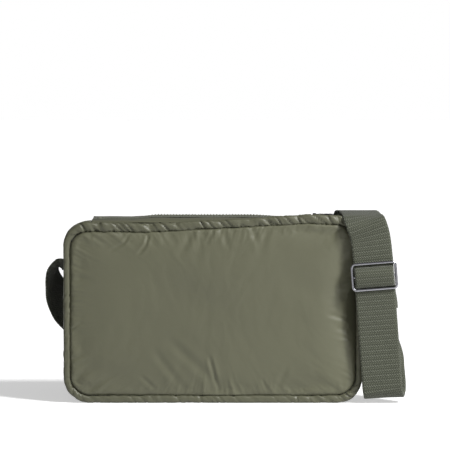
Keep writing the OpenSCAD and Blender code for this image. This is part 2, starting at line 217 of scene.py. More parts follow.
# %% Helpers for finishes
class Recipe:
    """A material whose nodes are added one by one and linked to its shader."""

    def __init__(self, name, colour, roughness, metallic=0.0, specular=0.5):
        self.material = bpy.data.materials.new(name)
        self.material.use_nodes = True
        self.tree = self.material.node_tree
        self.shader = self.tree.nodes["Principled BSDF"]
        self.shader.inputs["Base Color"].default_value = (*colour, 1)
        self.shader.inputs["Roughness"].default_value = roughness
        self.shader.inputs["Metallic"].default_value = metallic
        self.shader.inputs["Specular IOR Level"].default_value = specular

    def node(self, kind, settings=None, **inputs):
        """Adds a node; an input is a number, a colour or another node's output."""
        made = self.tree.nodes.new("ShaderNode" + kind)
        for key, value in (settings or {}).items():
            setattr(made, key, value)
        for key, value in inputs.items():
            socket = made.inputs[key.replace("_", " ")]
            if isinstance(value, bpy.types.NodeSocket):
                self.tree.links.new(value, socket)
            else:
                socket.default_value = value
        return made

    def maths(self, operation, a, b=0.0):
        made = self.node("Math", {"operation": operation})
        for socket, value in zip(made.inputs, (a, b)):
            if isinstance(value, bpy.types.NodeSocket):
                self.tree.links.new(value, socket)
            else:
                socket.default_value = value
        return made.outputs[0]

    def mix(self, factor, a, b):
        made = self.node("Mix", {"data_type": "RGBA"})
        for socket, value in zip((made.inputs[0], made.inputs[6], made.inputs[7]), (factor, a, b)):
            if isinstance(value, bpy.types.NodeSocket):
                self.tree.links.new(value, socket)
            else:
                socket.default_value = value if isinstance(value, float) else (*value, 1)
        return made.outputs[2]

    def bump(self, height, strength, distance, below=None):
        inputs = {"Height": height, "Strength": strength, "Distance": distance}
        if below is not None:
            inputs["Normal"] = below
        return self.node("Bump", **inputs).outputs["Normal"]

    def finish(self, colour=None, roughness=None, normal=None):
        for key, value in (("Base Color", colour), ("Roughness", roughness), ("Normal", normal)):
            if value is not None:
                self.tree.links.new(value, self.shader.inputs[key])
        return self.material


def object_place(recipe, scale=(1, 1, 1)):
    """Place on the piece in the room, scaled."""
    place = recipe.node("TexCoord").outputs["Object"]
    return recipe.node("Mapping", Vector=place, Scale=scale).outputs["Vector"]


# %% [markdown]
# ### Satin nylon
# The bag is padded nylon with a dull shine. A tight plain weave is too fine to see
# from afar, so it is a small bump of two crossing waves. The colour drifts slightly
# over the surface, and a faint fine ripple breaks up the highlights the way thin cloth
# over wadding does. The welts get a slightly darker copy of the same finish: painted
# shade, standing in for the shade that falls on their gathered rolls.

# %% Satin nylon
def satin_nylon(name, colour, shade):
    r = Recipe(name, colour, 0.44, specular=0.42)
    r.shader.inputs["Sheen Weight"].default_value = 0.12
    r.shader.inputs["Sheen Roughness"].default_value = 0.4
    drift = r.node("TexNoise", Vector=object_place(r), Scale=14.0, Detail=3.0)
    tint = r.mix(drift.outputs["Fac"], shade, colour)
    weft = r.node("TexWave", {"bands_direction": "X"}, Vector=object_place(r), Scale=640.0)
    warp = r.node("TexWave", {"bands_direction": "Z"}, Vector=object_place(r), Scale=640.0)
    threads = r.maths("MULTIPLY", weft.outputs["Fac"], warp.outputs["Fac"])
    ripple = r.node("TexNoise", Vector=object_place(r), Scale=120.0, Detail=4.0)
    soft = r.node("TexNoise", Vector=object_place(r), Scale=32.0, Detail=2.0)
    normal = r.bump(soft.outputs["Fac"], 0.25, 0.0012)
    normal = r.bump(ripple.outputs["Fac"], 0.16, 0.0004, normal)
    normal = r.bump(threads, 0.10, 0.00012, normal)
    rough = r.maths("MULTIPLY_ADD", drift.outputs["Fac"], 0.10)
    rough.node.inputs[2].default_value = 0.39
    return r.finish(tint, rough, normal)


NYLON_COLOUR = (0.104, 0.105, 0.064)
NYLON_SHADE = (0.090, 0.090, 0.058)
nylon = satin_nylon("satin_nylon", NYLON_COLOUR, NYLON_SHADE)
# painted shade: the welts take a darker copy of the satin nylon, standing in for the shade on their rolls
shaded_welt_nylon = satin_nylon("shaded_welt_nylon", [0.88 * c for c in NYLON_COLOUR],
                             [0.82 * c for c in NYLON_SHADE])


# %% [markdown]
# ### Woven webbing
# The strap is heavy webbing. Its weft shows as ribs across the strap, and the warp
# yarns that pass over them lean one way and then the other. The pattern follows the
# strap, so it reads the piece's own UV map, which is in metres: U across, V along.

# %% Woven webbing
def woven(name, colour, gap_shade, rib, yarn, rough, depth):
    """Webbing or tape; rib, yarn and depth are the weave's sizes in metres."""
    r = Recipe(name, colour, rough, specular=0.3)
    r.shader.inputs["Sheen Weight"].default_value = 0.15
    uv = r.node("UVMap").outputs["UV"]
    parts = r.node("SeparateXYZ", Vector=uv)
    across, along = parts.outputs["X"], parts.outputs["Y"]
    ribs = r.maths("ABSOLUTE", r.maths("SINE", r.maths("MULTIPLY", along, math.pi / rib)))
    sway = r.maths("PINGPONG", along, rib)
    slanted = r.maths("ADD", r.maths("MULTIPLY", across, 2 * math.pi / yarn),
                      r.maths("MULTIPLY", sway, 2.2 * math.pi / yarn))
    yarns = r.maths("MULTIPLY_ADD", r.maths("SINE", slanted), 0.5)
    yarns.node.inputs[2].default_value = 0.5
    height = r.maths("MULTIPLY", ribs, yarns)
    speck = r.node("TexNoise", Vector=object_place(r), Scale=900.0, Detail=2.0)
    drift = r.node("TexNoise", Vector=object_place(r), Scale=60.0, Detail=3.0)
    tone = r.maths("MULTIPLY", height, r.maths("ADD", speck.outputs["Fac"], 0.5))
    # painted shade: where the weave is low, between ribs and yarns, the colour turns to the dark gap colour,
    # standing in for the shade there
    tint = r.mix(tone, gap_shade, colour)
    dull = tuple(0.86 * c for c in colour)
    tint = r.mix(r.maths("MULTIPLY", drift.outputs["Fac"], 0.35), tint, dull)
    return r.finish(tint, None, r.bump(height, 0.75, depth))


# The gap colours below are painted shade for the low places of the weave.
WEBBING_COLOUR = (0.108, 0.117, 0.080)
WEBBING_GAP_SHADE = (0.026, 0.029, 0.018)
TAPE_COLOUR = (0.125, 0.131, 0.094)
TAPE_GAP_SHADE = (0.05, 0.052, 0.037)
webbing = woven("strap_webbing", WEBBING_COLOUR, WEBBING_GAP_SHADE, 2.0 * MM, 1.9 * MM, 0.6, 0.7 * MM)
zip_tape = woven("zip_tape_weave", TAPE_COLOUR, TAPE_GAP_SHADE, 0.9 * MM, 0.8 * MM, 0.7, 0.2 * MM)

# %% [markdown]
# ### The other finishes
# The lining is a plain matt cloth, the zip teeth a moulded nylon that matches the
# cloth, and the adjuster and ring are polished metal with the fine scratches that
# handling leaves. The floor glows a little to look at, but gives no light.

# %% Lining, teeth, metal, thread and floor
def matt_cloth(name, colour, scale):
    r = Recipe(name, colour, 0.8, specular=0.25)
    weft = r.node("TexWave", {"bands_direction": "X"}, Vector=object_place(r), Scale=scale)
    warp = r.node("TexWave", {"bands_direction": "Z"}, Vector=object_place(r), Scale=scale)
    threads = r.maths("MAXIMUM", weft.outputs["Fac"], warp.outputs["Fac"])
    drift = r.node("TexNoise", Vector=object_place(r), Scale=25.0, Detail=4.0)
    tint = r.mix(drift.outputs["Fac"], tuple(0.8 * c for c in colour), colour)
    crease = r.bump(drift.outputs["Fac"], 0.3, 0.002)
    return r.finish(tint, None, r.bump(threads, 0.2, 0.0002, crease))


def moulded(name, colour):
    r = Recipe(name, colour, 0.42, specular=0.5)
    grain = r.node("TexNoise", Vector=object_place(r), Scale=2500.0, Detail=2.0)
    tint = r.mix(grain.outputs["Fac"], tuple(0.85 * c for c in colour), colour)
    return r.finish(tint, None, r.bump(grain.outputs["Fac"], 0.15, 0.0001))


def polished(name, colour):
    r = Recipe(name, colour, 0.16, metallic=1.0)
    scratches = r.node("TexNoise", Vector=object_place(r, (300, 300, 2600)), Scale=1.0, Detail=3.0)
    smudge = r.node("TexNoise", Vector=object_place(r), Scale=160.0, Detail=3.0)
    rough = r.maths("MULTIPLY_ADD", smudge.outputs["Fac"], 0.16)
    rough.node.inputs[2].default_value = 0.10
    return r.finish(None, rough, r.bump(scratches.outputs["Fac"], 0.06, 0.0001))


lining_cloth = matt_cloth("lining_cloth", (0.115, 0.120, 0.080), 420.0)
teeth_nylon = moulded("teeth_nylon", (0.165, 0.172, 0.125))
nickel = polished("dark_nickel", (0.36, 0.36, 0.39))
thread = matt_cloth("sewing_thread", (0.075, 0.078, 0.055), 900.0)
floor_recipe = Recipe("floor_white", (0.82, 0.82, 0.82), 0.6, specular=0.2)
floor_recipe.shader.inputs["Emission Color"].default_value = (1, 1, 1, 1)
seen_floor = floor_recipe.node("LightPath").outputs["Is Camera Ray"]
FLOOR_GLOW = 0.52
white_glow = floor_recipe.maths("MULTIPLY", seen_floor, FLOOR_GLOW)
floor_recipe.tree.links.new(white_glow, floor_recipe.shader.inputs["Emission Strength"])
floor.data.materials.append(floor_recipe.material)

# %% [markdown]
# ## Making cloth from grids
# Cloth is flat before it is sewn, so each cloth piece starts as a flat grid and every
# point is then put where the sewn cloth lies. The grid keeps a UV map in metres. Thin
# cloth gets its thickness last, which closes it.

# %% Helpers for pieces
def as_piece(name, bm, material, smooth=True):
    """A new object from a bmesh, which it uses up."""
    mesh = bpy.data.meshes.new(name)
    bm.to_mesh(mesh)
    bm.free()
    for face in mesh.polygons:
        face.use_smooth = smooth
    piece = bpy.data.objects.new(name, mesh)
    scene.collection.objects.link(piece)
    mesh.materials.append(material)
    return piece


def placed_grid(across, along, place, size=(1.0, 1.0)):
    """A bmesh grid whose points place(u, v) puts in the room, with u and v from 0 to
    1 and UVs from 0 to size."""
    bm = bmesh.new()
    bmesh.ops.create_grid(bm, x_segments=across, y_segments=along, size=0.5, calc_uvs=True)
    layer = bm.loops.layers.uv.verify()
    for face in bm.faces:
        for loop in face.loops:
            x, y, _ = loop.vert.co
            loop[layer].uv = ((x + 0.5) * size[0], (y + 0.5) * size[1])
    for vert in bm.verts:
        x, y, _ = vert.co
        vert.co = place(min(max(x + 0.5, 0), 1), min(max(y + 0.5, 0), 1))
    return bm


def face_out(bm):
    """Turns the faces outwards."""
    bmesh.ops.recalc_face_normals(bm, faces=bm.faces)
    return bm


def close_up(bm):
    """Joins edges that lie on each other."""
    bmesh.ops.remove_doubles(bm, verts=bm.verts, dist=1e-6)
    return face_out(bm)


def cap(bm, dist=1e-6):
    """Joins edges that lie on each other and fills the open ends."""
    bmesh.ops.remove_doubles(bm, verts=bm.verts, dist=dist)
    bmesh.ops.holes_fill(bm, edges=[e for e in bm.edges if e.is_boundary], sides=0)
    return face_out(bm)


def round_edges(bm, edges, offset, segments):
    bmesh.ops.bevel(bm, geom=edges, offset=offset, offset_type="OFFSET", segments=segments,
                    affect="EDGES", profile=0.5, material=-1)
    return bm


def join(parts):
    """One bmesh out of several, which it uses up."""
    whole = bmesh.new()
    for part in parts:
        mesh = bpy.data.meshes.new("part")
        part.to_mesh(mesh)
        part.free()
        whole.from_mesh(mesh)
        bpy.data.meshes.remove(mesh)
    return whole


def thicken(piece, thickness):
    """Gives thin cloth its thickness, half on each side, which closes it."""
    wall = piece.modifiers.new("thickness", "SOLIDIFY")
    wall.thickness = thickness
    wall.offset = 0
    wall.use_even_offset = False
    return piece


def settle(piece, body, slot, *nodes):
    """Says what the piece moves with and the frame nodes it stands for; slot is not used."""
    if body:
        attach(piece, body)
    if nodes:
        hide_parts(*nodes)
    print(f"{piece.name}: {len(piece.data.polygons)} faces")
    return piece


# %% [markdown]
# ## The slouch of the bag
# A soft bag never stands dead square. The front's top edge sinks to the left of its
# middle, where the wadding has settled, and stands a little proud on the right. Every
# front piece takes the same slouch, so that they stay sewn together.

# %% Slouch
def slouch(x, z, depth):
    """How far the cloth at x, z has sunk; depth is 1 at the front and 0 at the back."""
    sink = -5.1 * hump(x, -0.056, 0.050) - 1.1 * hump(x, 0.012, 0.034)
    sink -= 2.4 * hump(x, -0.110, 0.022)
    lift = 1.7 * hump(x, 0.080, 0.030)
    back = -4.8 - 6.4 * hump(x, -0.106, 0.026)
    total = depth * (sink + lift) + (1 - depth) * back
    return total * MM * ease(0.080, 0.138, z)


def side_depth(y):
    """The slouch's depth at a place between the front seam and the back one."""
    return 0.5 - 0.5 * max(-1.0, min(1.0, y / SEAM_Y))


# %% [markdown]
# ## Front and back panels
# Each panel is nylon over thick wadding. It rises steeply from its seam and is nearly
# flat in the middle. Where the seam gathers the cloth, short creases run in from it,
# and a few long soft folds cross the panel.

# %% Shape of a panel
SEAM_INSET = 5.0 * MM
TOP_INSET = 7.0 * MM
BASE_INSET = 6.0 * MM
SHIFT = (BASE_INSET - TOP_INSET) / 2
SEAM_HALF_W = HALF_W - SEAM_INSET
SEAM_HALF_H = HALF_H - (TOP_INSET + BASE_INSET) / 2
SEAM_CORNER = CORNER - SEAM_INSET
PUFF, CROWN = 4.9 * MM, 1.9 * MM
PAD_SEAM_Y, PAD_BACK_Y = FACE_Y - 4.2 * MM, FACE_Y - 6.1 * MM
GATHER_REACH = 10 * MM


def seam_inset(way):
    """How far in from the outline the seam runs, from the outward direction there."""
    up = max(way.y, 0) ** 2
    down = max(-way.y, 0) ** 2
    return SEAM_INSET + (TOP_INSET - SEAM_INSET) * up + (BASE_INSET - SEAM_INSET) * down


# Creases: start, end, half width and depth, in millimetres.
FRONT_CREASES = (
    ((-68, 139), (-72, 133), 1.0, 0.75), ((-72, 133), (-82, 127), 1.2, 0.6),
    ((-52, 139), (-54, 132), 1.1, 0.8), ((-54, 132), (-60, 124), 1.3, 0.6),
    ((-17, 140), (-26, 124), 2.6, 0.5), ((-8, 141), (-12, 118), 3.2, 0.4),
    ((0, 141), (-5, 131), 1.4, 0.45), ((7, 142), (13, 126), 2.2, 0.45),
    ((31, 143), (36, 128), 2.0, 0.5), ((43, 144), (38, 121), 3.0, 0.4),
    ((-44, 38), (-24, 12), 2.8, 0.45), ((-30, 46), (6, 13), 3.4, 0.5),
    ((-2, 34), (4, 11), 1.4, 0.85), ((-56, 20), (-44, 9), 1.6, 0.4),
    ((40, 18), (44, 9), 1.1, 0.5), ((58, 26), (50, 9), 2.2, 0.35),
    ((-116, 58), (-106, 65), 1.2, 0.6), ((-113, 103), (-98, 101), 2.4, 0.4),
    ((96, 71), (117, 65), 1.8, 0.5), ((101, 60), (117, 57), 1.8, 0.35),
    ((100, 96), (116, 104), 3.0, 0.7), ((60, 100), (100, 84), 9.0, 0.5),
    ((-100, 28), (-70, 20), 6.0, 0.4), ((-40, 95), (30, 60), 12.0, 0.5),
)
BACK_CREASES = (
    ((60, 139), (52, 120), 2.4, 0.5), ((20, 141), (24, 124), 2.0, 0.5),
    ((-30, 142), (-36, 122), 3.0, 0.5), ((-75, 140), (-66, 128), 1.6, 0.5),
    ((50, 10), (30, 34), 3.0, 0.6), ((-10, 9), (-20, 36), 2.6, 0.6),
    ((-60, 10), (-52, 24), 2.0, 0.5), ((-114, 70), (-98, 62), 2.0, 0.5),
    ((114, 84), (96, 88), 2.4, 0.5), ((-60, 60), (40, 95), 12.0, 0.6),
)


def crease_depth(x, z, creases):
    """How deep the creases are at a point, in metres."""
    total = 0.0
    for (x0, z0), (x1, z1), width, depth in creases:
        ax, az = (x1 - x0) * MM, (z1 - z0) * MM
        px, pz = x - x0 * MM, z - z0 * MM
        length = math.hypot(ax, az)
        t = (px * ax + pz * az) / length ** 2
        if -0.3 < t < 1.3:
            away = abs(px * az - pz * ax) / length
            fade = ease(-0.3, 0.12, t) * (1 - ease(0.45, 1.3, t))
            valley = math.exp(-(away / (width * MM)) ** 2)
            ridge = 0.45 * math.exp(-((away - 1.9 * width * MM) / (width * MM)) ** 2)
            total += depth * MM * fade * (valley - ridge)
    return total


def panel_place(a, b):
    """Point of the front view, inside the seam, for a and b from -1 to 1."""
    reach = max(abs(a), abs(b))
    x, z = a * SEAM_HALF_W, b * SEAM_HALF_H
    far_x, far_z = abs(x) / max(reach, 1e-9), abs(z) / max(reach, 1e-9)
    cx, cz = SEAM_HALF_W - SEAM_CORNER, SEAM_HALF_H - SEAM_CORNER
    if far_x > cx and far_z > cz:
        # where a ray from the middle meets the round corner
        dot, square = far_x * cx + far_z * cz, far_x ** 2 + far_z ** 2
        root = math.sqrt(max(dot ** 2 - square * (cx ** 2 + cz ** 2 - SEAM_CORNER ** 2), 0))
        pull = 1 + ((dot + root) / square - 1) * reach ** 6
        x, z = x * pull, z * pull
    return x, z + HALF_H + SHIFT


def seam_distance(x, z):
    """Distance inwards from the panel's seam, 0 outside it."""
    qx = abs(x) - (SEAM_HALF_W - SEAM_CORNER)
    qz = abs(z - HALF_H - SHIFT) - (SEAM_HALF_H - SEAM_CORNER)
    return max(SEAM_CORNER - math.hypot(max(qx, 0), max(qz, 0)) - min(max(qx, qz), 0), 0)


def gathers(x, z, seed):
    """Small folds that a gathered seam sends into the cloth beside it."""
    d = seam_distance(x, z)
    angle = math.atan2(z - HALF_H, x * 0.62)
    along = angle * 0.135
    wave = wander(along * 165, d * 30, seed)
    wave += 0.6 * wander(along * 420, d * 60, seed + 7)
    strength = 0.35 + 0.65 * abs(wander(along * 28, 3, seed))
    return wave * strength * math.exp(-d / GATHER_REACH) * ease(0, 0.0015, d)


def panel_height(x, z, creases, seed):
    """How far the panel stands out from its seam."""
    d = seam_distance(x, z)
    roll = PUFF * (0.72 * (1 - math.exp(-d / 0.0016)) + 0.28 * (1 - math.exp(-d / 0.009)))
    dome = CROWN * max(0, 1 - (x / 0.118) ** 2) * max(0, 1 - ((z - HALF_H) / 0.072) ** 2)
    soft = 0.9 * MM * wander(x * 16, z * 16, seed)
    inside = ease(0, 0.010, d)
    return roll + dome + soft * inside - crease_depth(x, z, creases) + 1.1 * MM * gathers(x, z, seed)


# %% [markdown]
# The small folds that run in from a gathered seam are hard to draw by hand, because
# they branch and die out in their own way. So a flat cut of cloth, a little larger than
# its frame of stitches, is blown up gently by the cloth solver. Only the folds are kept
# from it: the broad swelling comes from the wadding, whose shape is already known.

# %% Folds from the cloth solver
COLS, ROWS = 220, 138


def blur(field, reach):
    """Smooths a grid of values over reach cells."""
    taps = np.exp(-0.5 * (np.arange(-3 * reach, 3 * reach + 1) / reach) ** 2)
    taps /= taps.sum()
    padded = np.pad(field, 3 * reach, mode="edge")
    rows_done = np.apply_along_axis(lambda line: np.convolve(line, taps, mode="valid"), 1, padded)
    return np.apply_along_axis(lambda line: np.convolve(line, taps, mode="valid"), 0, rows_done)


def border_points(mesh):
    """Numbers of the points along a mesh's border."""
    bm = bmesh.new()
    bm.from_mesh(mesh)
    numbers = sorted({v.index for e in bm.edges if e.is_boundary for v in e.verts})
    bm.free()
    return numbers


FOLD_LIMIT = 2.2 * MM
FRAMES = 18


def solved_folds(name, place, ease_in, seed):
    """How far the folds of gathered cloth stand up, on the panel's grid."""
    folds = np.zeros((ROWS + 1, COLS + 1))
    cut = as_piece(name, placed_grid(COLS, ROWS, place), nylon)
    mesh = cut.data
    sewn = cut.vertex_groups.new(name="sewn")
    sewn.add(border_points(mesh), 1.0, "REPLACE")
    start = np.array([v.co for v in mesh.vertices])
    shake = random.Random(seed)
    for vert in mesh.vertices:
        vert.co.y += shake.uniform(-0.02, 0.02) * MM
    cloth = cut.modifiers.new("cloth", "CLOTH")
    cloth.settings.vertex_group_mass = "sewn"
    cloth.settings.quality = 6
    cloth.settings.mass = 0.12
    cloth.settings.tension_stiffness = cloth.settings.compression_stiffness = 25
    cloth.settings.shear_stiffness = 10
    cloth.settings.bending_stiffness = 0.25
    cloth.settings.shrink_min = -ease_in
    cloth.settings.use_pressure = True
    cloth.settings.uniform_pressure_force = 5
    cloth.settings.effector_weights.gravity = 0
    cloth.collision_settings.use_collision = False
    for number in range(1, FRAMES + 1):
        scene.frame_set(number)
    solved = cut.evaluated_get(bpy.context.evaluated_depsgraph_get()).data
    rise = np.abs([v.co.y for v in solved.vertices]) - np.abs(start[:, 1])
    folds = rise.reshape(ROWS + 1, COLS + 1)
    folds = np.clip(folds - blur(folds, 9), -FOLD_LIMIT, FOLD_LIMIT)
    scene.frame_set(1)
    bpy.data.objects.remove(cut)
    bpy.data.meshes.remove(mesh)
    print(f"{name}: folds up to {folds.max() * 1000:.2f} mm, typical {folds.std() * 1000:.2f} mm")
    return folds


# %% A panel
def make_panel(name, side, creases, seed, dent):
    """A closed pad: the puffed outer nylon, rolled in at the seam to a flat inner face."""
    def plain(u, v):
        x, z = panel_place(2 * u - 1, 2 * v - 1)
        h = panel_height(x, z, (), seed)
        return Vector((x, side * (PAD_SEAM_Y + h), z))

    def place(u, v):
        x, z = panel_place(2 * u - 1, 2 * v - 1)
        h = panel_height(x, z, creases, seed) - dent(x, z)
        y = side * (PAD_SEAM_Y + h)
        return Vector((x, y, z + slouch(x, z, 1.0 if side < 0 else 0.0)))

    folds = solved_folds(f"{name}_cut", plain, 0.035, int(seed * 10)).ravel()
    bm = placed_grid(COLS, ROWS, place, (2 * HALF_W, 2 * HALF_H))
    bm.verts.ensure_lookup_table()
    for vert, fold in zip(bm.verts[:], folds):
        d = seam_distance(vert.co.x, vert.co.z)
        patch = 0.75 + 0.9 * wander(vert.co.x * 30, vert.co.z * 30, seed)
        keep = 0.10 + 0.90 * math.exp(-(d / 0.011) ** 2) * max(patch, 0.1)
        vert.co.y += side * float(fold) * keep
    rim = [e for e in bm.edges if e.is_boundary]
    skirt = bmesh.ops.extrude_edge_only(bm, edges=rim)
    low = [g for g in skirt["geom"] if isinstance(g, bmesh.types.BMVert)]
    for vert in low:
        vert.co.y = side * PAD_BACK_Y
    bmesh.ops.holes_fill(bm, edges=[e for e in bm.edges if e.is_boundary], sides=0)
    bmesh.ops.triangulate(bm, faces=[f for f in bm.faces if len(f.verts) > 4])
    return as_piece(name, face_out(bm), nylon)


def front_dent(x, z):
    """The strap's edge presses into the panel on the right."""
    return 8.0 * MM * hump(x, 0.117, 0.017) * hump(z, 0.076, 0.040)


def back_dent(x, z):
    """The strap lies against the back on the same side."""
    return 1.2 * MM * hump(x, 0.104, 0.014) * hump(z, 0.1, 0.04)


for panel, word in (
    (make_panel("front_panel_pad", -1, FRONT_CREASES, 3.1, front_dent), "front"),
    (make_panel("back_panel_pad", 1, BACK_CREASES, 9.4, back_dent), "back"),
):
    settle(panel, "root", "nylon", f"{word}_panel", f"{word}_wadding")

# %% [markdown]
# ## Welts
# The seam between a panel and the side band is covered by a soft roll of nylon with
# wadding in it. The needle pulls it in at every few stitches, which throws slanting
# puckers over the roll. It is a grid closed into a ring: one way round its section,
# the other way round the bag.

# %% Welts
def pucker(s, section, seed):
    """Slanting folds on the roll: s is the way round the bag, section from 0 to 1."""
    slant = s - 0.008 * section
    fold = wander(slant * 150, 0.4 * section, seed)
    fine = wander(slant * 560, 0.8 * section, seed + 5)
    crease = max(0, 1 - 5 * abs(wander(slant * 135, 0.5 * section, seed + 11)))
    return 0.4 * fold + 0.25 * fine - 0.9 * crease ** 1.5


def pucker_strength(way, s, seed):
    """Puckers are deep along the top and at the corners, shallow at the sides."""
    corner = 1 - max(abs(way.x), abs(way.y)) ** 4
    top = max(way.y, 0)
    patchy = 0.7 + 0.6 * wander(s * 25, 1, seed)
    return (0.35 + 0.55 * top + 0.6 * corner) * patchy


def make_welt(name, side, seed):
    steps_along, steps_round = 1500, 22
    middle_y = SEAM_Y + 1.3 * MM

    def place(u, v):
        s = v * AROUND
        base, way = outline(s)
        inset = seam_inset(way)
        turn = 2 * math.pi * u
        radial = math.cos(turn)
        outer = 0.5 * (1 + radial)
        swell = 1 + 0.10 * wander(s * 18, 0, seed)
        strength = pucker_strength(way, s, seed)
        fold = pucker(s, outer, seed) * strength * 2.5 * MM
        scallop = 2.6 * MM * strength * abs(wander(s * 210, 2, seed)) * (1 - outer)
        half = inset / 2 * swell + 0.6 * max(fold, -0.6 * MM) + scallop
        deep = (3.1 * MM + fold) * swell
        centre = base - way * (inset / 2)
        square = signed_power(radial, 0.75)
        flat = centre + way * square * half
        y = side * (middle_y + signed_power(math.sin(turn), 0.7) * deep)
        z = max(flat.y + slouch(flat.x, flat.y, side_depth(y)), 0.15 * MM)
        return Vector((flat.x, y, z))

    bm = placed_grid(steps_round, steps_along, place, (0.018, AROUND))
    return as_piece(name, close_up(bm), shaded_welt_nylon)


settle(make_welt("front_welt_roll", -1, 2.7), "root", "nylon", "front_welt")
settle(make_welt("back_welt_roll", 1, 8.2), "root", "nylon", "back_welt")

# %% [markdown]
# ## Gusset
# One padded band makes both sides and the base. It swells slightly between its seams,
# except where the bag stands on it. Its ends stop at the mouth.

# %% Gusset and its lining
MOUTH_END = 98 * MM
TOP_RIGHT = AROUND / 2 - MOUTH_END
BAND_LENGTH = AROUND - 2 * MOUTH_END


def band_place(swell, inset, half_y, seed, folds):
    """Place on the band; swell and folds are how far it stands out and ripples."""
    def place(u, v):
        s = TOP_RIGHT - v * BAND_LENGTH
        base, way = outline(s, inset)
        y = (2 * u - 1) * half_y
        bulge = swell * (1 - (2 * u - 1) ** 2) * (1 - ease(0.5, 1.0, way.y) * 0.8)
        edge = min(u, 1 - u)
        wave = wander(s * 120, u * 3, seed) * math.exp(-edge * 14)
        wave += 0.8 * wander(s * 34, u * 2.2, seed + 3)
        point = base + way * (bulge + folds * wave)
        z = point.y + slouch(point.x, point.y, side_depth(y)) * 0.7
        return Vector((point.x, y, max(z, 0.4 * MM + inset)))

    return place


def make_band(name, material, swell, inset, half_y, seed, folds, thickness):
    bm = placed_grid(34, 620, band_place(swell, inset, half_y, seed, folds), (2 * half_y, BAND_LENGTH))
    return thicken(as_piece(name, face_out(bm), material), thickness)


gusset = make_band("gusset_band", nylon, 1.1 * MM, 0.6 * MM, SEAM_Y + 0.6 * MM, 5.5, 0.7 * MM, 0.8 * MM)
settle(gusset, "root", "nylon", "gusset", "gusset_wadding")
inner = make_band("gusset_lining_cloth", lining_cloth, -0.3 * MM, 3.7 * MM, SEAM_Y - 2.4 * MM, 6.6,
                  0.35 * MM, 0.5 * MM)
settle(inner, "root", "lining", "gusset_lining")

# %% [markdown]
# The inside of each panel is faced with the same lining, which hangs a little slack.
# Where a panel's lining meets the gusset's, a woven tape binds the raw edges.

# %% Panel linings and bindings
def make_lining(name, side, seed):
    """A panel's lining: square at the top, with round lower corners."""
    low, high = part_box(name.replace("_cloth", ""))
    mid_y = (low.y + high.y) / 2
    half_w, top, base = high.x - 0.3 * MM, 143.2 * MM, low.z + 0.2 * MM

    def place(u, v):
        x = (2 * u - 1) * half_w
        z = base + v * (top - base)
        corner = 14 * MM
        if z < base + corner:
            drop = corner - (z - base)
            x = max(-1, min(1, x / half_w)) * (half_w - corner + math.sqrt(max(corner ** 2 - drop ** 2, 0)))
        edge = min(u, 1 - u, v) * 8
        slack = 0.9 * MM * wander(x * 30, z * 30, seed) * min(edge, 1)
        return Vector((x, mid_y + side * slack, z + slouch(x, z, 1.0 if side < 0 else 0.0)))

    bm = placed_grid(150, 90, place, (2 * half_w, top - base))
    lining = thicken(as_piece(name, face_out(bm), lining_cloth), 0.4 * MM)
    return lining


def make_binding(name, side):
    """Tape folded over the seam allowance, with a soft edge."""
    low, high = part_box(name.replace("_tape", ""))
    width, thick = 4 * MM, 1.2 * MM
    mid_y = side * (abs(low.y + high.y) / 2)
    inset = 3.8 * MM + width / 2

    def place(u, v):
        s = TOP_RIGHT - v * BAND_LENGTH
        base, way = outline(s, inset)
        turn = 2 * math.pi * u
        flat = base + way * signed_power(math.cos(turn), 0.5) * width / 2
        y = mid_y + math.sin(turn) * thick / 2
        return Vector((flat.x, y, flat.y + slouch(flat.x, flat.y, side_depth(y)) * 0.7))

    return as_piece(name, cap(placed_grid(12, 420, place, (2 * width, BAND_LENGTH))), zip_tape)


for side, word in ((-1, "front"), (1, "back")):
    settle(make_lining(f"{word}_lining_cloth", side, 4.0 + side), "root", "lining", f"{word}_lining")
    settle(make_binding(f"{word}_binding_tape", side), "root", "tape", f"{word}_binding")

# %% [markdown]
# ## The zip
# Each side of the zip is a folded strip of nylon, a woven tape and a row of teeth. The
# closed mouth lies a little uneven: the filling pushes its middle up.
# Opening the zip folds each side outwards about the edge by its welt. So the strips are
# cut in two at the middle of the mouth; each half is made as it lies closed.

# %% Where the zip lies
facing_low, facing_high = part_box("front_facing")
teeth_low, teeth_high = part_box("front_zip_teeth")
MOUTH = facing_high.x
HINGE_Y = -facing_low.y - 0.8 * MM
HINGE_Z = (facing_low.z + facing_high.z) / 2
ZIP_RISE = 2.0 * MM


def zip_lift(x):
    """How far the closed zip rises over its straight line."""
    return ZIP_RISE * (1 - ease(0.030, 0.066, x)) * ease(-0.066, -0.045, x)


def zip_blend(piece):
    """Half of the mouth, with its placement baked into its points."""
    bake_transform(piece)
    return piece


def mouth_half_grid(side, width, place, across, along):
    """Grid over half the mouth; place gets x and the way across from 0 to 1."""
    def at(u, v):
        return place(side * v * MOUTH, u)
    return placed_grid(across, along, at, (width, MOUTH))


# %% Facings and tapes
FACING_EDGE = 8.5 * MM
TAPE_EDGE, TAPE_W = 1.2 * MM, 11.8 * MM


def make_facing(name, depth, side):
    """A strip folded back on itself, thickest at its rolled edge."""
    def place(x, u):
        turn = 2 * math.pi * u
        run = HINGE_Y - FACING_EDGE
        w = 0.5 + 0.5 * math.cos(turn)
        y = FACING_EDGE + w * run
        up = 0.8 * MM * signed_power(math.sin(turn), 0.6)
        arch = 0.9 * MM * math.sin(math.pi * w) + zip_lift(x) * (1 - w)
        ripple = 0.35 * MM * wander(x * 90, w * 2, depth * 5.0) * (1 - 0.5 * w)
        return Vector((x, depth * y, HINGE_Z + up + arch + ripple))

    return as_piece(name, cap(mouth_half_grid(side, 0.043, place, 28, 150)), nylon)


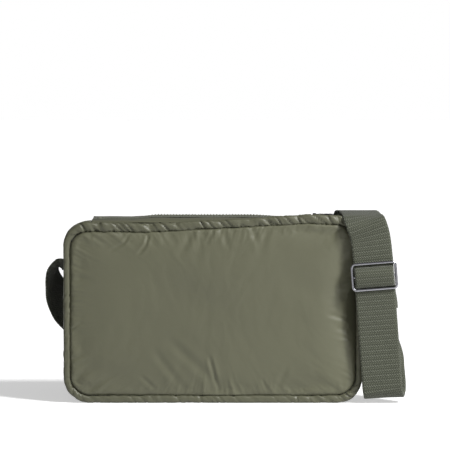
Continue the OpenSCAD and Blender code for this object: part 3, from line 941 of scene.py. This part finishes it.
def make_tape(name, depth, side):
    """Woven tape on the facing, whose inner edge carries the teeth."""
    def place(x, u):
        w = 1 - u
        y = TAPE_EDGE + w * TAPE_W
        run = (y - FACING_EDGE) / (HINGE_Y - FACING_EDGE)
        arch = 0.9 * MM * math.sin(math.pi * max(run, 0)) + zip_lift(x) * (1 - max(run, 0))
        wave = 0.15 * MM * wander(x * 70, w * 2, 3.0 + depth)
        return Vector((x, depth * y, HINGE_Z + 1.08 * MM + arch + wave))

    bm = mouth_half_grid(side, TAPE_W, place, 16, 150)
    return thicken(as_piece(name, face_out(bm), zip_tape), 0.45 * MM)


for depth, word in ((-1, "front"), (1, "back")):
    for side, half in ((-1, "left"), (1, "right")):
        facing = make_facing(f"{word}_facing_{half}", depth, side)
        tape = make_tape(f"{word}_zip_tape_{half}", depth, side)
        for piece in (facing, tape):
            zip_blend(piece)
        settle(facing, None, "nylon", f"{word}_facing")
        settle(tape, None, "tape", f"{word}_zip_tape")

# %% [markdown]
# The teeth are moulded over the tape's edge. One tooth is a small block with its
# corners cut off and a swollen head, and it is repeated along the tape. The two rows
# are half a pitch apart, so that the heads lock between each other.

# %% Teeth
TOOTH_PITCH = 2.5 * MM


def tooth(x, depth):
    """One tooth across the tape's edge, its head past the middle line."""
    bm = bmesh.new()
    bmesh.ops.create_cube(bm, size=1.0)
    proud = 0.9 * MM * zip_lift(x) / ZIP_RISE if depth < 0 else 0
    low, high = teeth_low.z, teeth_high.z + proud
    bmesh.ops.scale(bm, vec=(1.08 * MM, 2.5 * MM, high - low), verts=bm.verts)
    for vert in bm.verts:
        if vert.co.y * depth < 0:
            vert.co.x *= 1.18
            vert.co.z *= 0.84
        else:
            vert.co.x *= 0.82
        if vert.co.z > 0:
            vert.co.x *= 0.66
    round_edges(bm, bm.edges[:], 0.22 * MM, 1)
    spot = (x, depth * 0.15 * MM, (low + high) / 2 + zip_lift(x))
    bmesh.ops.translate(bm, vec=spot, verts=bm.verts)
    return bm


def make_teeth(name, depth, side):
    start = teeth_low.x if depth < 0 else teeth_low.x + TOOTH_PITCH / 2
    x = start + 0.55 * MM
    teeth = []
    while x < teeth_high.x - 0.4 * MM:
        if (x >= 0) == (side > 0):
            teeth.append(tooth(x, depth))
        x += TOOTH_PITCH
    return as_piece(name, join(teeth), teeth_nylon, smooth=False)


for depth, word in ((-1, "front"), (1, "back")):
    for side, half in ((-1, "left"), (1, "right")):
        teeth = zip_blend(make_teeth(f"{word}_zip_teeth_{half}", depth, side))
        settle(teeth, None, "teeth", f"{word}_zip_teeth")

# %% [markdown]
# ## Webbing strips
# A strip of webbing is a flat, closed ribbon with rounded edges that follows a route.
# The route is a short list of given points and a list of directions across
# the strap, both made smooth. Small swellings along its edges are the weft's turns.

# %% A ribbon along a smooth route
STRAP_W, STRAP_T = 32 * MM, 1.6 * MM
STEP = 0.55 * MM


def smooth(points, count):
    """The smooth curve through the points, with count steps between neighbours."""
    p = [Vector(q) for q in points]
    out = []
    for i in range(len(p) - 1):
        a, b, c, d = p[max(i - 1, 0)], p[i], p[i + 1], p[min(i + 2, len(p) - 1)]
        for k in range(count):
            t = k / count
            out.append(0.5 * (2 * b + (c - a) * t + (2 * a - 5 * b + 4 * c - d) * t ** 2
                              + (3 * b - a - 3 * c + d) * t ** 3))
    return out + [p[-1]]


def even_route(points, sides, step=STEP):
    """Centres, directions across and distances, evenly spaced along the route."""
    centres, across = smooth(points, 24), smooth(sides, 24)
    run = [0.0]
    for a, b in zip(centres, centres[1:]):
        run.append(run[-1] + (b - a).length)
    count = max(2, round(run[-1] / step))
    places, ways, k = [], [], 0
    for i in range(count + 1):
        s = run[-1] * i / count
        while k < len(run) - 2 and run[k + 1] < s:
            k += 1
        t = (s - run[k]) / max(run[k + 1] - run[k], 1e-12)
        places.append(centres[k].lerp(centres[k + 1], t))
        ways.append(across[k].lerp(across[k + 1], t))
    return places, ways, run[-1]


def ribbon(name, points, sides, material, width=STRAP_W, thick=STRAP_T, first_v=0.0, faces=13):
    """Closed webbing strip; first_v is how far along the strap it begins."""
    places, ways, length = even_route(points, sides)
    last = len(places) - 1

    def place(u, v):
        i = min(round(v * last), last)
        along = (places[min(i + 1, last)] - places[max(i - 1, 0)]).normalized()
        side = (ways[i] - ways[i].dot(along) * along).normalized()
        out = side.cross(along)
        turn = (4 * u) % 4
        t = 1 - turn if turn < 2 else turn - 3
        c = math.sin(t * math.pi / 2)
        up = 1 if turn < 2 else -1
        s = first_v + length * i / last
        beads = 0.10 * MM * max(0, math.sin(2 * math.pi * s / (2.0 * MM))) * ease(0.90, 0.96, abs(c))
        rise = thick / 2 * math.sqrt(max(1 - abs(c) ** 36, 0)) + (beads if abs(c) < 0.999 else 0)
        cup = 0.25 * MM * wander(s * 22, c * 0.7, 4.0)
        return places[i] + side * (c * width / 2) + out * (up * rise + cup * (c * c - 0.4))

    bm = placed_grid(4 * faces // 2, last, place, (1.0, length))
    layer = bm.loops.layers.uv.verify()
    for face in bm.faces:
        for loop in face.loops:
            u, v = loop[layer].uv
            turn = (4 * u) % 4 if u < 1 else 4.0
            t = 1 - turn if turn < 2 else turn - 3
            loop[layer].uv = (math.sin(t * math.pi / 2) * width / 2, first_v + v)
    piece = as_piece(name, cap(bm, 1e-7), material)
    print(f"{name}: {length:.3f} m long")
    return piece, length


def in_mm(points):
    return [Vector(p) * MM for p in points]


# %% [markdown]
# ## The strap
# One long strap runs all the way: from its seam on the left side it drops behind the
# bag, lies there folded in three, climbs the back, comes over the right corner and
# hangs down the front. There it turns up to the side ring, back down, and up again to
# the adjuster. It is made in a few pieces, because the parts near the ring and the
# adjuster move.

# %% Where the front leg hangs
LEAN = math.radians(4.4)
LEG_Y = -40.6
TURN_Z, TURN_Y = 13, -32.6


def leg_at(z):
    return 125.2 + (150 - z) * math.tan(LEAN)


ring_low, ring_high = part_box("side_ring")
RING_X = (ring_low.x + ring_high.x) / 2
WIRE = ring_high.x - ring_low.x
RING_TOP = ring_high.z - WIRE / 2
RING_BASE = ring_low.z + WIRE / 2
WRAP = WIRE / 2 + 0.1 * MM + STRAP_T / 2
wrap_x = (RING_X - WRAP) / MM

# %% The long piece, from the left seam round to the back of the ring
LEFT = [
    (-120.2, 0, 108.6), (-124.6, 0, 109), (-128.4, 0.5, 106), (-130.8, 4, 99.5), (-130.6, 12, 90),
    (-127, 25, 80), (-121.5, 39, 69), (-110, 50, 56), (-96, 54, 40), (-80, 57, 24), (-70, 58, 13),
    (-64, 58, 8.8),
]
LEFT_ACROSS = [
    (0, 0.94, -0.34), (0, 0.94, -0.34), (0.08, 0.96, -0.25), (0.17, 0.98, 0), (0.3, 0.92, 0.22),
    (0.4, 0.75, 0.5), (0.4, 0.6, 0.68), (0.3, 0.55, 0.78), (0.1, 0.7, 0.7), (0, 0.88, 0.45),
    (0, 1, 0.12), (0, 1, 0),
]
FOLDS = [
    (-58, 58, 7.9), (-40, 57.6, 6.9), (-10, 57.8, 5.8), (30, 58.2, 5.7), (60, 58, 6.4), (78, 58, 7.2),
    (83, 58, 7.1), (86.6, 58, 6.4), (88, 58, 4.9), (86.6, 58, 3.5), (83, 58, 3.0),
    (60, 58.6, 3.1), (30, 58.9, 3.3), (0, 58.6, 3.2), (-30, 58.2, 3.5), (-50, 58, 4.4),
    (-57, 57.8, 4.9), (-60.5, 57.6, 4.3), (-61.6, 57.6, 2.9), (-60.5, 57.6, 1.5), (-57, 57.7, 0.9),
    (-40, 57.8, 0.85), (0, 58, 0.85), (40, 58, 0.85), (74, 58, 0.85),
]
RISER = [
    (94, 58, 0.85), (103, 58, 2.2), (110, 58, 7.5), (112.5, 58, 16), (113, 57, 28), (113, 55, 44),
    (113, 51.5, 62), (113, 47, 82), (113, 43, 104), (113, 41, 126),
]
RISER_ACROSS = [
    (0, 1, 0), (0, 1, 0), (0, 1, 0), (0.1, 0.99, 0), (0.26, 0.97, 0), (0.48, 0.88, 0),
    (0.7, 0.71, 0), (0.88, 0.47, 0), (0.98, 0.2, 0), (1, 0.04, 0),
]
OVER = [
    (113.5, 40.8, 138), (114.4, 40.2, 143.6), (115.8, 37.4, 148.0), (117, 31, 149.9), (117.6, 14, 151.4),
    (118.4, -14, 151.8), (119.4, -30, 151.0), (120.6, -37, 148.4), (122.5, LEG_Y, 144.0),
]
OVER_ACROSS = [(1, 0, math.tan(LEAN) if y < -36 else 0) for x, y, z in OVER]
LEG = [(125.6, LEG_Y, 134)] + [(leg_at(z), LEG_Y, z) for z in (118, 100, 68, 40, 22)]
LEG_ACROSS = [(1, 0, math.tan(LEAN)) for p in LEG]


def turn_points(radius, down):
    """The strap's turn at the bottom of the leg, forwards or backwards."""
    angles = range(0, 181, 30) if down else range(180, -1, -30)
    return [(leg_at(TURN_Z) + a * 0.02, TURN_Y - radius * math.cos(math.radians(a)),
             TURN_Z - radius * math.sin(math.radians(a))) for a in angles]


BACK = [(138.4, -22.5, 26), (138.7, -18, 38), (137.6, -12, 50), (134.4, -6, 61), (129, -1.5, 70),
        (wrap_x, 0, 77), (wrap_x, 0, 83)]
BACK_ACROSS = [(0.98, 0.2, 0), (0.88, 0.48, 0), (0.66, 0.75, 0), (0.38, 0.92, 0), (0.1, 0.99, 0),
               (0, 1, 0), (0, 1, 0)]
CUT = 3
main_points = LEFT + FOLDS + RISER + OVER + LEG + turn_points(8, True) + BACK[:CUT + 1]
main_across = (LEFT_ACROSS + [(0, 1, 0)] * len(FOLDS) + RISER_ACROSS + OVER_ACROSS + LEG_ACROSS
               + [(1, 0, 0.05)] * 7 + BACK_ACROSS[:CUT + 1])
strap, strap_length = ribbon("strap", in_mm(main_points), main_across, webbing)
settle(strap, "root", "webbing", "strap_left", "strap_hank", "strap_riser", "strap_top",
       "strap_front", "strap_back")

# %% [markdown]
# The strap goes up through the ring and comes back down inside itself. That turn
# is shaped round the ring, and its lower end meets the rest of the strap.

# %% The turn over the ring
def inner_point(i, gap):
    """A point of the inner layer, off the outer layer's point i by gap millimetres."""
    along = (Vector(BACK[min(i + 1, 6)]) - Vector(BACK[max(i - 1, 0)])).normalized()
    return tuple(Vector(BACK[i]) - gap * along.cross(Vector(BACK_ACROSS[i]).normalized()))


ring_z = RING_BASE / MM
wrap = WRAP / MM
over_ring = [
    (RING_X / MM + wrap * math.cos(math.radians(a)), 0, ring_z + wrap * math.sin(math.radians(a)))
    for a in (180, 150, 120, 90, 60, 30, 0)
]
gap_in = 2.6
turn_route = BACK[CUT:] + over_ring + [inner_point(6, 2 * wrap), inner_point(5, 2 * wrap),
                                       inner_point(4, gap_in), inner_point(3, gap_in)]
turn_across = (BACK_ACROSS[CUT:] + [(0, 1, 0)] * 7
               + [BACK_ACROSS[6], BACK_ACROSS[5], BACK_ACROSS[4], BACK_ACROSS[3]])
strap_turn, turn_length = ribbon("strap_ring_turn", in_mm(turn_route), turn_across, webbing,
                                 first_v=strap_length)
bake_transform(strap_turn)
settle(strap_turn, None, "webbing", "ring_wrap")

# %% The inner layer, down round the bottom and up to the adjuster
inner_points = [inner_point(i, gap_in) for i in (3, 2, 1, 0)] + turn_points(5.9, False)
inner_across = [BACK_ACROSS[i] for i in (3, 2, 1, 0)] + [(1, 0, 0.05)] * 7
low_end = (leg_at(22), LEG_Y + 2.1, 22)
inner_low, low_length = ribbon("strap_inner_low", in_mm(inner_points + [low_end]),
                               inner_across + [(1, 0, math.tan(LEAN))], webbing,
                               first_v=strap_length + turn_length)
settle(inner_low, "root", "webbing", "strap_return")

up_points = [low_end] + [(leg_at(z), LEG_Y + back, z) for z, back in (
    (46, 2.1), (62, 2.1), (73, 4.0), (88, 3.9), (101, 3.0))]
inner_up, up_length = ribbon("strap_inner_front", in_mm(up_points), [(1, 0, math.tan(LEAN))] * 6,
                             webbing, first_v=strap_length + turn_length + low_length)
Vector(up_points[0]) * MM
Vector(up_points[-1]) * MM
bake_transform(inner_up)
settle(inner_up, None, "webbing")

# %% [markdown]
# ## Metalwork
# The ring and the adjuster's frame are bent from round wire and polished. A wire shape
# is a round section carried along a rounded rectangle, like the welts.

# %% Wire shapes
def round_rectangle(t, half_w, half_h, radius):
    """Point and outward direction at t, from 0 to 1, round a rounded rectangle."""
    w, h, arc = half_w - radius, half_h - radius, math.pi * radius / 2
    s = (t % 1) * (4 * w + 4 * h + 4 * arc)
    corners = ((w, -h, 270, 2 * h), (w, h, 0, 2 * w), (-w, h, 90, 2 * h), (-w, -h, 180, 2 * w))
    for x, y, angle, length in corners:
        turn = math.radians(angle)
        if s <= arc:
            way = Vector((math.cos(turn + s / radius), math.sin(turn + s / radius)))
            return Vector((x, y)) + way * radius, way
        s -= arc
        if s <= length:
            way = Vector((math.cos(turn + math.pi / 2), math.sin(turn + math.pi / 2)))
            run = Vector((-way.y, way.x))
            return Vector((x, y)) + way * radius + run * s, way
        s -= length
    return Vector((w, -h - radius)), Vector((0, -1))


def wire_loop(name, half_w, half_h, radius, wire, transform, flat=1.0):
    """A closed loop of wire lying in the local XZ plane, put in place by transform."""
    def place(u, v):
        spot, way = round_rectangle(v, half_w, half_h, radius)
        turn = 2 * math.pi * u
        reach = spot + way * (math.cos(turn) * wire / 2)
        return transform @ Vector((reach.x, math.sin(turn) * wire / 2 * flat, reach.y))

    return as_piece(name, close_up(placed_grid(16, 200, place)), nickel)


ring_frame = Matrix.Translation(Vector((RING_X, 0, (RING_TOP + RING_BASE) / 2))) @ Matrix.Rotation(
    math.pi / 2, 4, "Z")
side_ring = wire_loop("side_ring_wire", ring_high.y - WIRE / 2, (RING_TOP - RING_BASE) / 2, 2.2 * MM,
                      WIRE, ring_frame)
settle(side_ring, "ring", "metal", "side_ring")

# %% The adjuster's frame and centre bar
adjuster_low, adjuster_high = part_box("adjuster_frame")
ADJUST_W, ADJUST_H = 37 * MM, 23 * MM
adjust_middle = (adjuster_low + adjuster_high) / 2
adjuster_place = Matrix.Translation(adjust_middle) @ Matrix.Rotation(-LEAN, 4, "Y")
adjuster = wire_loop("adjuster_wire_frame", (ADJUST_W - WIRE) / 2, (ADJUST_H - WIRE) / 2, 2.6 * MM,
                     WIRE, adjuster_place, 0.9)
settle(adjuster, "adjuster", "metal", "adjuster_frame")

bar = bmesh.new()
bmesh.ops.create_cone(bar, cap_ends=True, segments=24, radius1=0.95 * MM, radius2=0.95 * MM,
                      depth=ADJUST_W - 1.7 * WIRE)
rims = [e for e in bar.edges if abs(e.verts[0].co.z - e.verts[1].co.z) < 1e-6]
round_edges(bar, rims, 0.2 * MM, 2)
bmesh.ops.transform(bar, matrix=adjuster_place @ Matrix.Rotation(math.pi / 2, 4, "Y"), verts=bar.verts)
settle(as_piece("adjuster_centre_bar", bar, nickel), "adjuster", "metal", "adjuster_bar")

# %% The strap's turn over the centre bar
def at_adjuster(x, y, z):
    """A point in the adjuster's own plane, in millimetres, put in the room."""
    return adjuster_place @ (Vector((x, y, z)) * MM)


WEAVE_W = 31.2 * MM
weave_shape = [
    (0, 1.3, 6.9), (0, 0.2, 6.7), (0, -1.1, 6.0), (0, -2.4, 4.7), (0, -3.4, 3.1), (0, -3.8, 1.5),
    (0, -3.7, 0.0), (0, -3.2, -2.6), (0, -2.3, -5.4), (0, -1.3, -7.2), (0, 0.3, -8.1), (0, 1.3, -8.2),
]
weave, weave_length = ribbon("adjuster_weave_strap", [at_adjuster(*p) for p in weave_shape],
                             [(math.cos(LEAN), 0, math.sin(LEAN))] * len(weave_shape), webbing,
                             width=WEAVE_W, thick=1.5 * MM)
settle(weave, "adjuster", "webbing", "adjuster_weave")

# %% The sewn end of the strap, doubled back behind the adjuster
end_shape = [
    (0.3, 4.4, 0.5), (0.3, 4.5, -6), (0.4, 4.4, -14), (0.9, 4.4, -19), (1.2, 4.3, -23), (1.2, 4.3, -27),
]
strap_end, end_length = ribbon("strap_sewn_end", [at_adjuster(*p) for p in end_shape],
                               [(math.cos(LEAN), 0, math.sin(LEAN))] * len(end_shape), webbing)
settle(strap_end, "adjuster", "webbing", "strap_end")

# %% [markdown]
# ## Stitches
# A stitch is a short, fat loop of thread that dips into the cloth at both ends. One
# low-poly stitch is repeated along a line of places.

# %% Rows of stitches
STITCH_LENGTH, THREAD_T = 2.4 * MM, 0.42 * MM


def stitch_row(places, out):
    """Stitches from each place to the next, standing on the outward direction."""
    bm = bmesh.new()
    for a, b in zip(places, places[1:]):
        along = (b - a).normalized()
        up = (out - out.dot(along) * along).normalized()
        side = along.cross(up)
        reach = min(STITCH_LENGTH, (b - a).length * 0.84)
        turn = Matrix((side * THREAD_T, up * THREAD_T * 0.8, along * reach)).transposed().to_4x4()
        made = bmesh.ops.create_uvsphere(bm, u_segments=6, v_segments=5, radius=0.5)["verts"]
        bmesh.ops.transform(bm, matrix=Matrix.Translation((a + b) / 2) @ turn, verts=made)
    return face_out(bm)


def row_between(a, b, pitch):
    count = max(2, round((b - a).length / pitch) + 1)
    return [a.lerp(b, i / (count - 1)) for i in range(count)]


def box_of_stitches(name, corners, out, pitch=2.6 * MM):
    """A sewn box with a cross in it."""
    a, b, c, d = corners
    sides = ((a, b), (b, c), (c, d), (d, a), (a, c), (b, d))
    rows = [stitch_row(row_between(start, end, pitch), out) for start, end in sides]
    return as_piece(name, join(rows), thread)


# %% [markdown]
# The ring hangs in a short tab of webbing that is sewn flat to the side of the bag. The
# tab starts above the ring, goes out over its upper bar and comes back under it.

# %% Ring tab
SIDE_X = gusset_high.x / MM
loop_r = WIRE / MM / 2 + 0.1 + 0.7
ring_x, top_z = RING_X / MM, RING_TOP / MM
tab_shape = [(SIDE_X + 0.85, 0, 112.8), (SIDE_X + 0.8, 0, 108.6), (SIDE_X + 1.2, 0, 105.2),
             (SIDE_X + 3.4, 0, 103.3), (ring_x, 0, top_z + loop_r)]
tab_shape += [(ring_x + loop_r * math.cos(math.radians(a)), 0, top_z + loop_r * math.sin(math.radians(a)))
              for a in (60, 30, 0, -30, -60, -90)]
tab_shape += [(SIDE_X + 3.6, 0, 98.4), (SIDE_X + 1.3, 0, 96.4), (SIDE_X + 0.8, 0, 93),
              (SIDE_X + 0.85, 0, 89.4)]
ring_tab, tab_length = ribbon("ring_tab_webbing", in_mm(tab_shape), [(0, 1, 0)] * len(tab_shape),
                              webbing, thick=1.4 * MM)
settle(ring_tab, "root", "webbing", "ring_tab")

TAB_FACE = SIDE_X + 1.62
for word, low, high in (("upper", 107.4, 111.4), ("lower", 90.6, 94.6)):
    corners = in_mm([(TAB_FACE, -13, low), (TAB_FACE, 13, low), (TAB_FACE, 13, high), (TAB_FACE, -13, high)])
    stitches = box_of_stitches(f"ring_tab_stitches_{word}", corners, Vector((1, 0, 0)))
    settle(stitches, "root", "webbing")

# %% [markdown]
# ## Slider and pull
# The slider is a small casting: two plates with turned-in sides, joined by a post at
# its open end, and a bridge that carries the pull. The plates are a tapered outline,
# pulled up and bevelled. The pull is a thin plate with a rolled eye and a raised rim.

# %% A bevelled plate from an outline
def plate(points, low, high, soft):
    """A flat plate with soft edges, from an outline in x and y."""
    bm = bmesh.new()
    corners = [bm.verts.new((x, y, low)) for x, y in points]
    face = bmesh.ops.contextual_create(bm, geom=corners)["faces"][0]
    top = bmesh.ops.extrude_face_region(bm, geom=[face])["geom"]
    raised = [v for v in top if isinstance(v, bmesh.types.BMVert)]
    bmesh.ops.translate(bm, vec=(0, 0, high - low), verts=raised)
    face_out(bm)
    flat_edges = [e for e in bm.edges if abs(e.verts[0].co.z - e.verts[1].co.z) < 1e-7]
    round_edges(bm, flat_edges, soft, 2)
    return bm


def bar_outline(x_low, x_high, y_low, y_high):
    return [(x_low, y_low), (x_high, y_low), (x_high, y_high), (x_low, y_high)]


# %% Slider
slider_low, slider_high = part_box("zip_slider")
pull_low, pull_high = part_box("zip_pull")
x0, x1, half = slider_low.x, slider_high.x, slider_high.y
plate_t = 0.8 * MM
under_top = 147.7 * MM
slot_low, slot_high = 145.65 * MM, 146.85 * MM
shape = [(x0, -0.74 * half), (x0 + 1.2 * MM, -0.86 * half), (x0 + 6 * MM, -half), (x1 - 1.6 * MM, -half),
         (x1, -0.62 * half)]
shape += [(x, -y) for x, y in reversed(shape)]
low_plate = plate(shape, slider_low.z, slider_low.z + plate_t, 0.25 * MM)
top_plate = plate(shape, under_top, under_top + plate_t, 0.3 * MM)
inside_low, inside_high = slider_low.z + 0.4 * MM, under_top + 0.4 * MM
rails = []
for y_side in (-1, 1):
    edges = sorted((y_side * half, y_side * (half - 1.15 * MM)))
    # the slot between the rails lets the tape out
    for low, high in ((inside_low, slot_low), (slot_high, inside_high)):
        rails.append(plate(bar_outline(x0 + 5 * MM, x1 - 1.8 * MM, *edges), low, high, 0.2 * MM))
wedge = [(x1 - 3 * MM, -0.35 * MM), (x1 - 0.6 * MM, -0.6 * MM), (x1 - 0.3 * MM, 0),
         (x1 - 0.6 * MM, 0.6 * MM), (x1 - 3 * MM, 0.35 * MM)]
post = plate(wedge, inside_low, inside_high, 0.1 * MM)
PULL_X, PULL_Z = 82 * MM, (pull_low.z + pull_high.z) / 2


def bridge_side(y):
    outline = bar_outline(PULL_X - 1.3 * MM, PULL_X + 1.3 * MM, y - 0.5 * MM, y + 0.5 * MM)
    return plate(outline, under_top + 0.5 * MM, PULL_Z + 0.9 * MM, 0.22 * MM)


def rod(radius, length, middle):
    """A rod across the slider."""
    bm = bmesh.new()
    bmesh.ops.create_cone(bm, cap_ends=True, segments=20, radius1=radius, radius2=radius, depth=length)
    turn = Matrix.Rotation(math.pi / 2, 4, "X")
    bmesh.ops.transform(bm, matrix=Matrix.Translation(middle) @ turn, verts=bm.verts)
    return bm


pin = rod(0.5 * MM, 4.4 * MM, Vector((PULL_X, 0, PULL_Z)))
slider = as_piece("zip_slider_body", join([low_plate, top_plate, post, pin, bridge_side(-1.8 * MM),
                                           bridge_side(1.8 * MM)] + rails), nickel, smooth=False)
settle(slider, "slider", "metal", "zip_slider")

# %% Pull
pull_t = 0.9 * MM
tip = pull_high.x
end_arc = [(tip - 3 * MM + 3 * MM * math.sin(math.radians(a)), 3 * MM * math.cos(math.radians(a)))
           for a in range(0, 181, 20)]
body = [(PULL_X + 4.2 * MM, -2.6 * MM), (PULL_X + 3.4 * MM, -1.0 * MM), (PULL_X + 1.0 * MM, -0.95 * MM),
        (PULL_X + 1.0 * MM, 0.95 * MM), (PULL_X + 3.4 * MM, 1.0 * MM), (PULL_X + 4.2 * MM, 2.6 * MM)]
body += end_arc
pull_plate = plate(body, PULL_Z - pull_t / 2, PULL_Z + pull_t / 2, 0.2 * MM)
tops = [f for f in pull_plate.faces if abs(f.normal.z) > 0.9 and f.calc_area() > 4e-6]
bmesh.ops.inset_region(pull_plate, faces=tops, thickness=0.55 * MM, depth=-0.22 * MM)


def eye_place(u, v):
    turn = 2 * math.pi * u
    ring_turn = 2 * math.pi * v
    reach = 0.78 * MM + 0.2 * MM * math.cos(turn)
    x, z = PULL_X + reach * math.cos(ring_turn), PULL_Z + reach * math.sin(ring_turn)
    return Vector((x, 0.95 * MM * math.sin(turn), z))


eye = close_up(placed_grid(12, 28, eye_place))
zip_pull = as_piece("zip_pull_tab", join([pull_plate, eye]), nickel, smooth=False)
settle(zip_pull, "pull", "metal", "zip_pull")

# %% [markdown]
# The zip ends in small stops, crimped on the tapes, and each end is covered by a tab of
# folded nylon.

# %% Stops and end tabs
def soft_block(low, high, soft, segments=3):
    """A rounded block between two corners."""
    bm = bmesh.new()
    bmesh.ops.create_cube(bm, size=1.0)
    bmesh.ops.scale(bm, vec=high - low, verts=bm.verts)
    bmesh.ops.translate(bm, vec=(low + high) / 2, verts=bm.verts)
    round_edges(bm, bm.edges[:], soft, segments)
    return bm


stop_low, stop_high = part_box("zip_bottom_stop")
bottom_stop = as_piece("zip_bottom_stop_block", soft_block(stop_low, stop_high, 0.5 * MM), teeth_nylon)
settle(bottom_stop, "root", "teeth", "zip_bottom_stop")
tops_low, tops_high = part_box("zip_top_stops")
halves = []
for y_side in (-1, 1):
    y_low, y_high = sorted((0.12 * MM * y_side, tops_high.y * y_side))
    corners = Vector((tops_low.x, y_low, tops_low.z)), Vector((tops_high.x, y_high, tops_high.z))
    halves.append(soft_block(*corners, 0.4 * MM))
settle(as_piece("zip_top_stop_blocks", join(halves), teeth_nylon), "root", "teeth", "zip_top_stops")


def end_tab(name, node):
    """Folded nylon across the end of the zip, a little creased."""
    low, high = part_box(node)
    bm = soft_block(low - Vector((0.8 * MM, 0, 0)), high + Vector((0.8 * MM, 0, 0.1 * MM)), 0.28 * MM, 2)
    long_edges = [e for e in bm.edges if e.calc_length() > 2 * MM]
    bmesh.ops.subdivide_edges(bm, edges=long_edges, cuts=12, use_grid_fill=True)
    for vert in bm.verts:
        vert.co.z += 0.18 * MM * noise.noise(vert.co * 260)
    return settle(as_piece(name, bm, nylon), "root", "nylon", node)


end_tab("left_zip_end_tab", "left_zip_tab")
end_tab("right_zip_end_tab", "right_zip_tab")
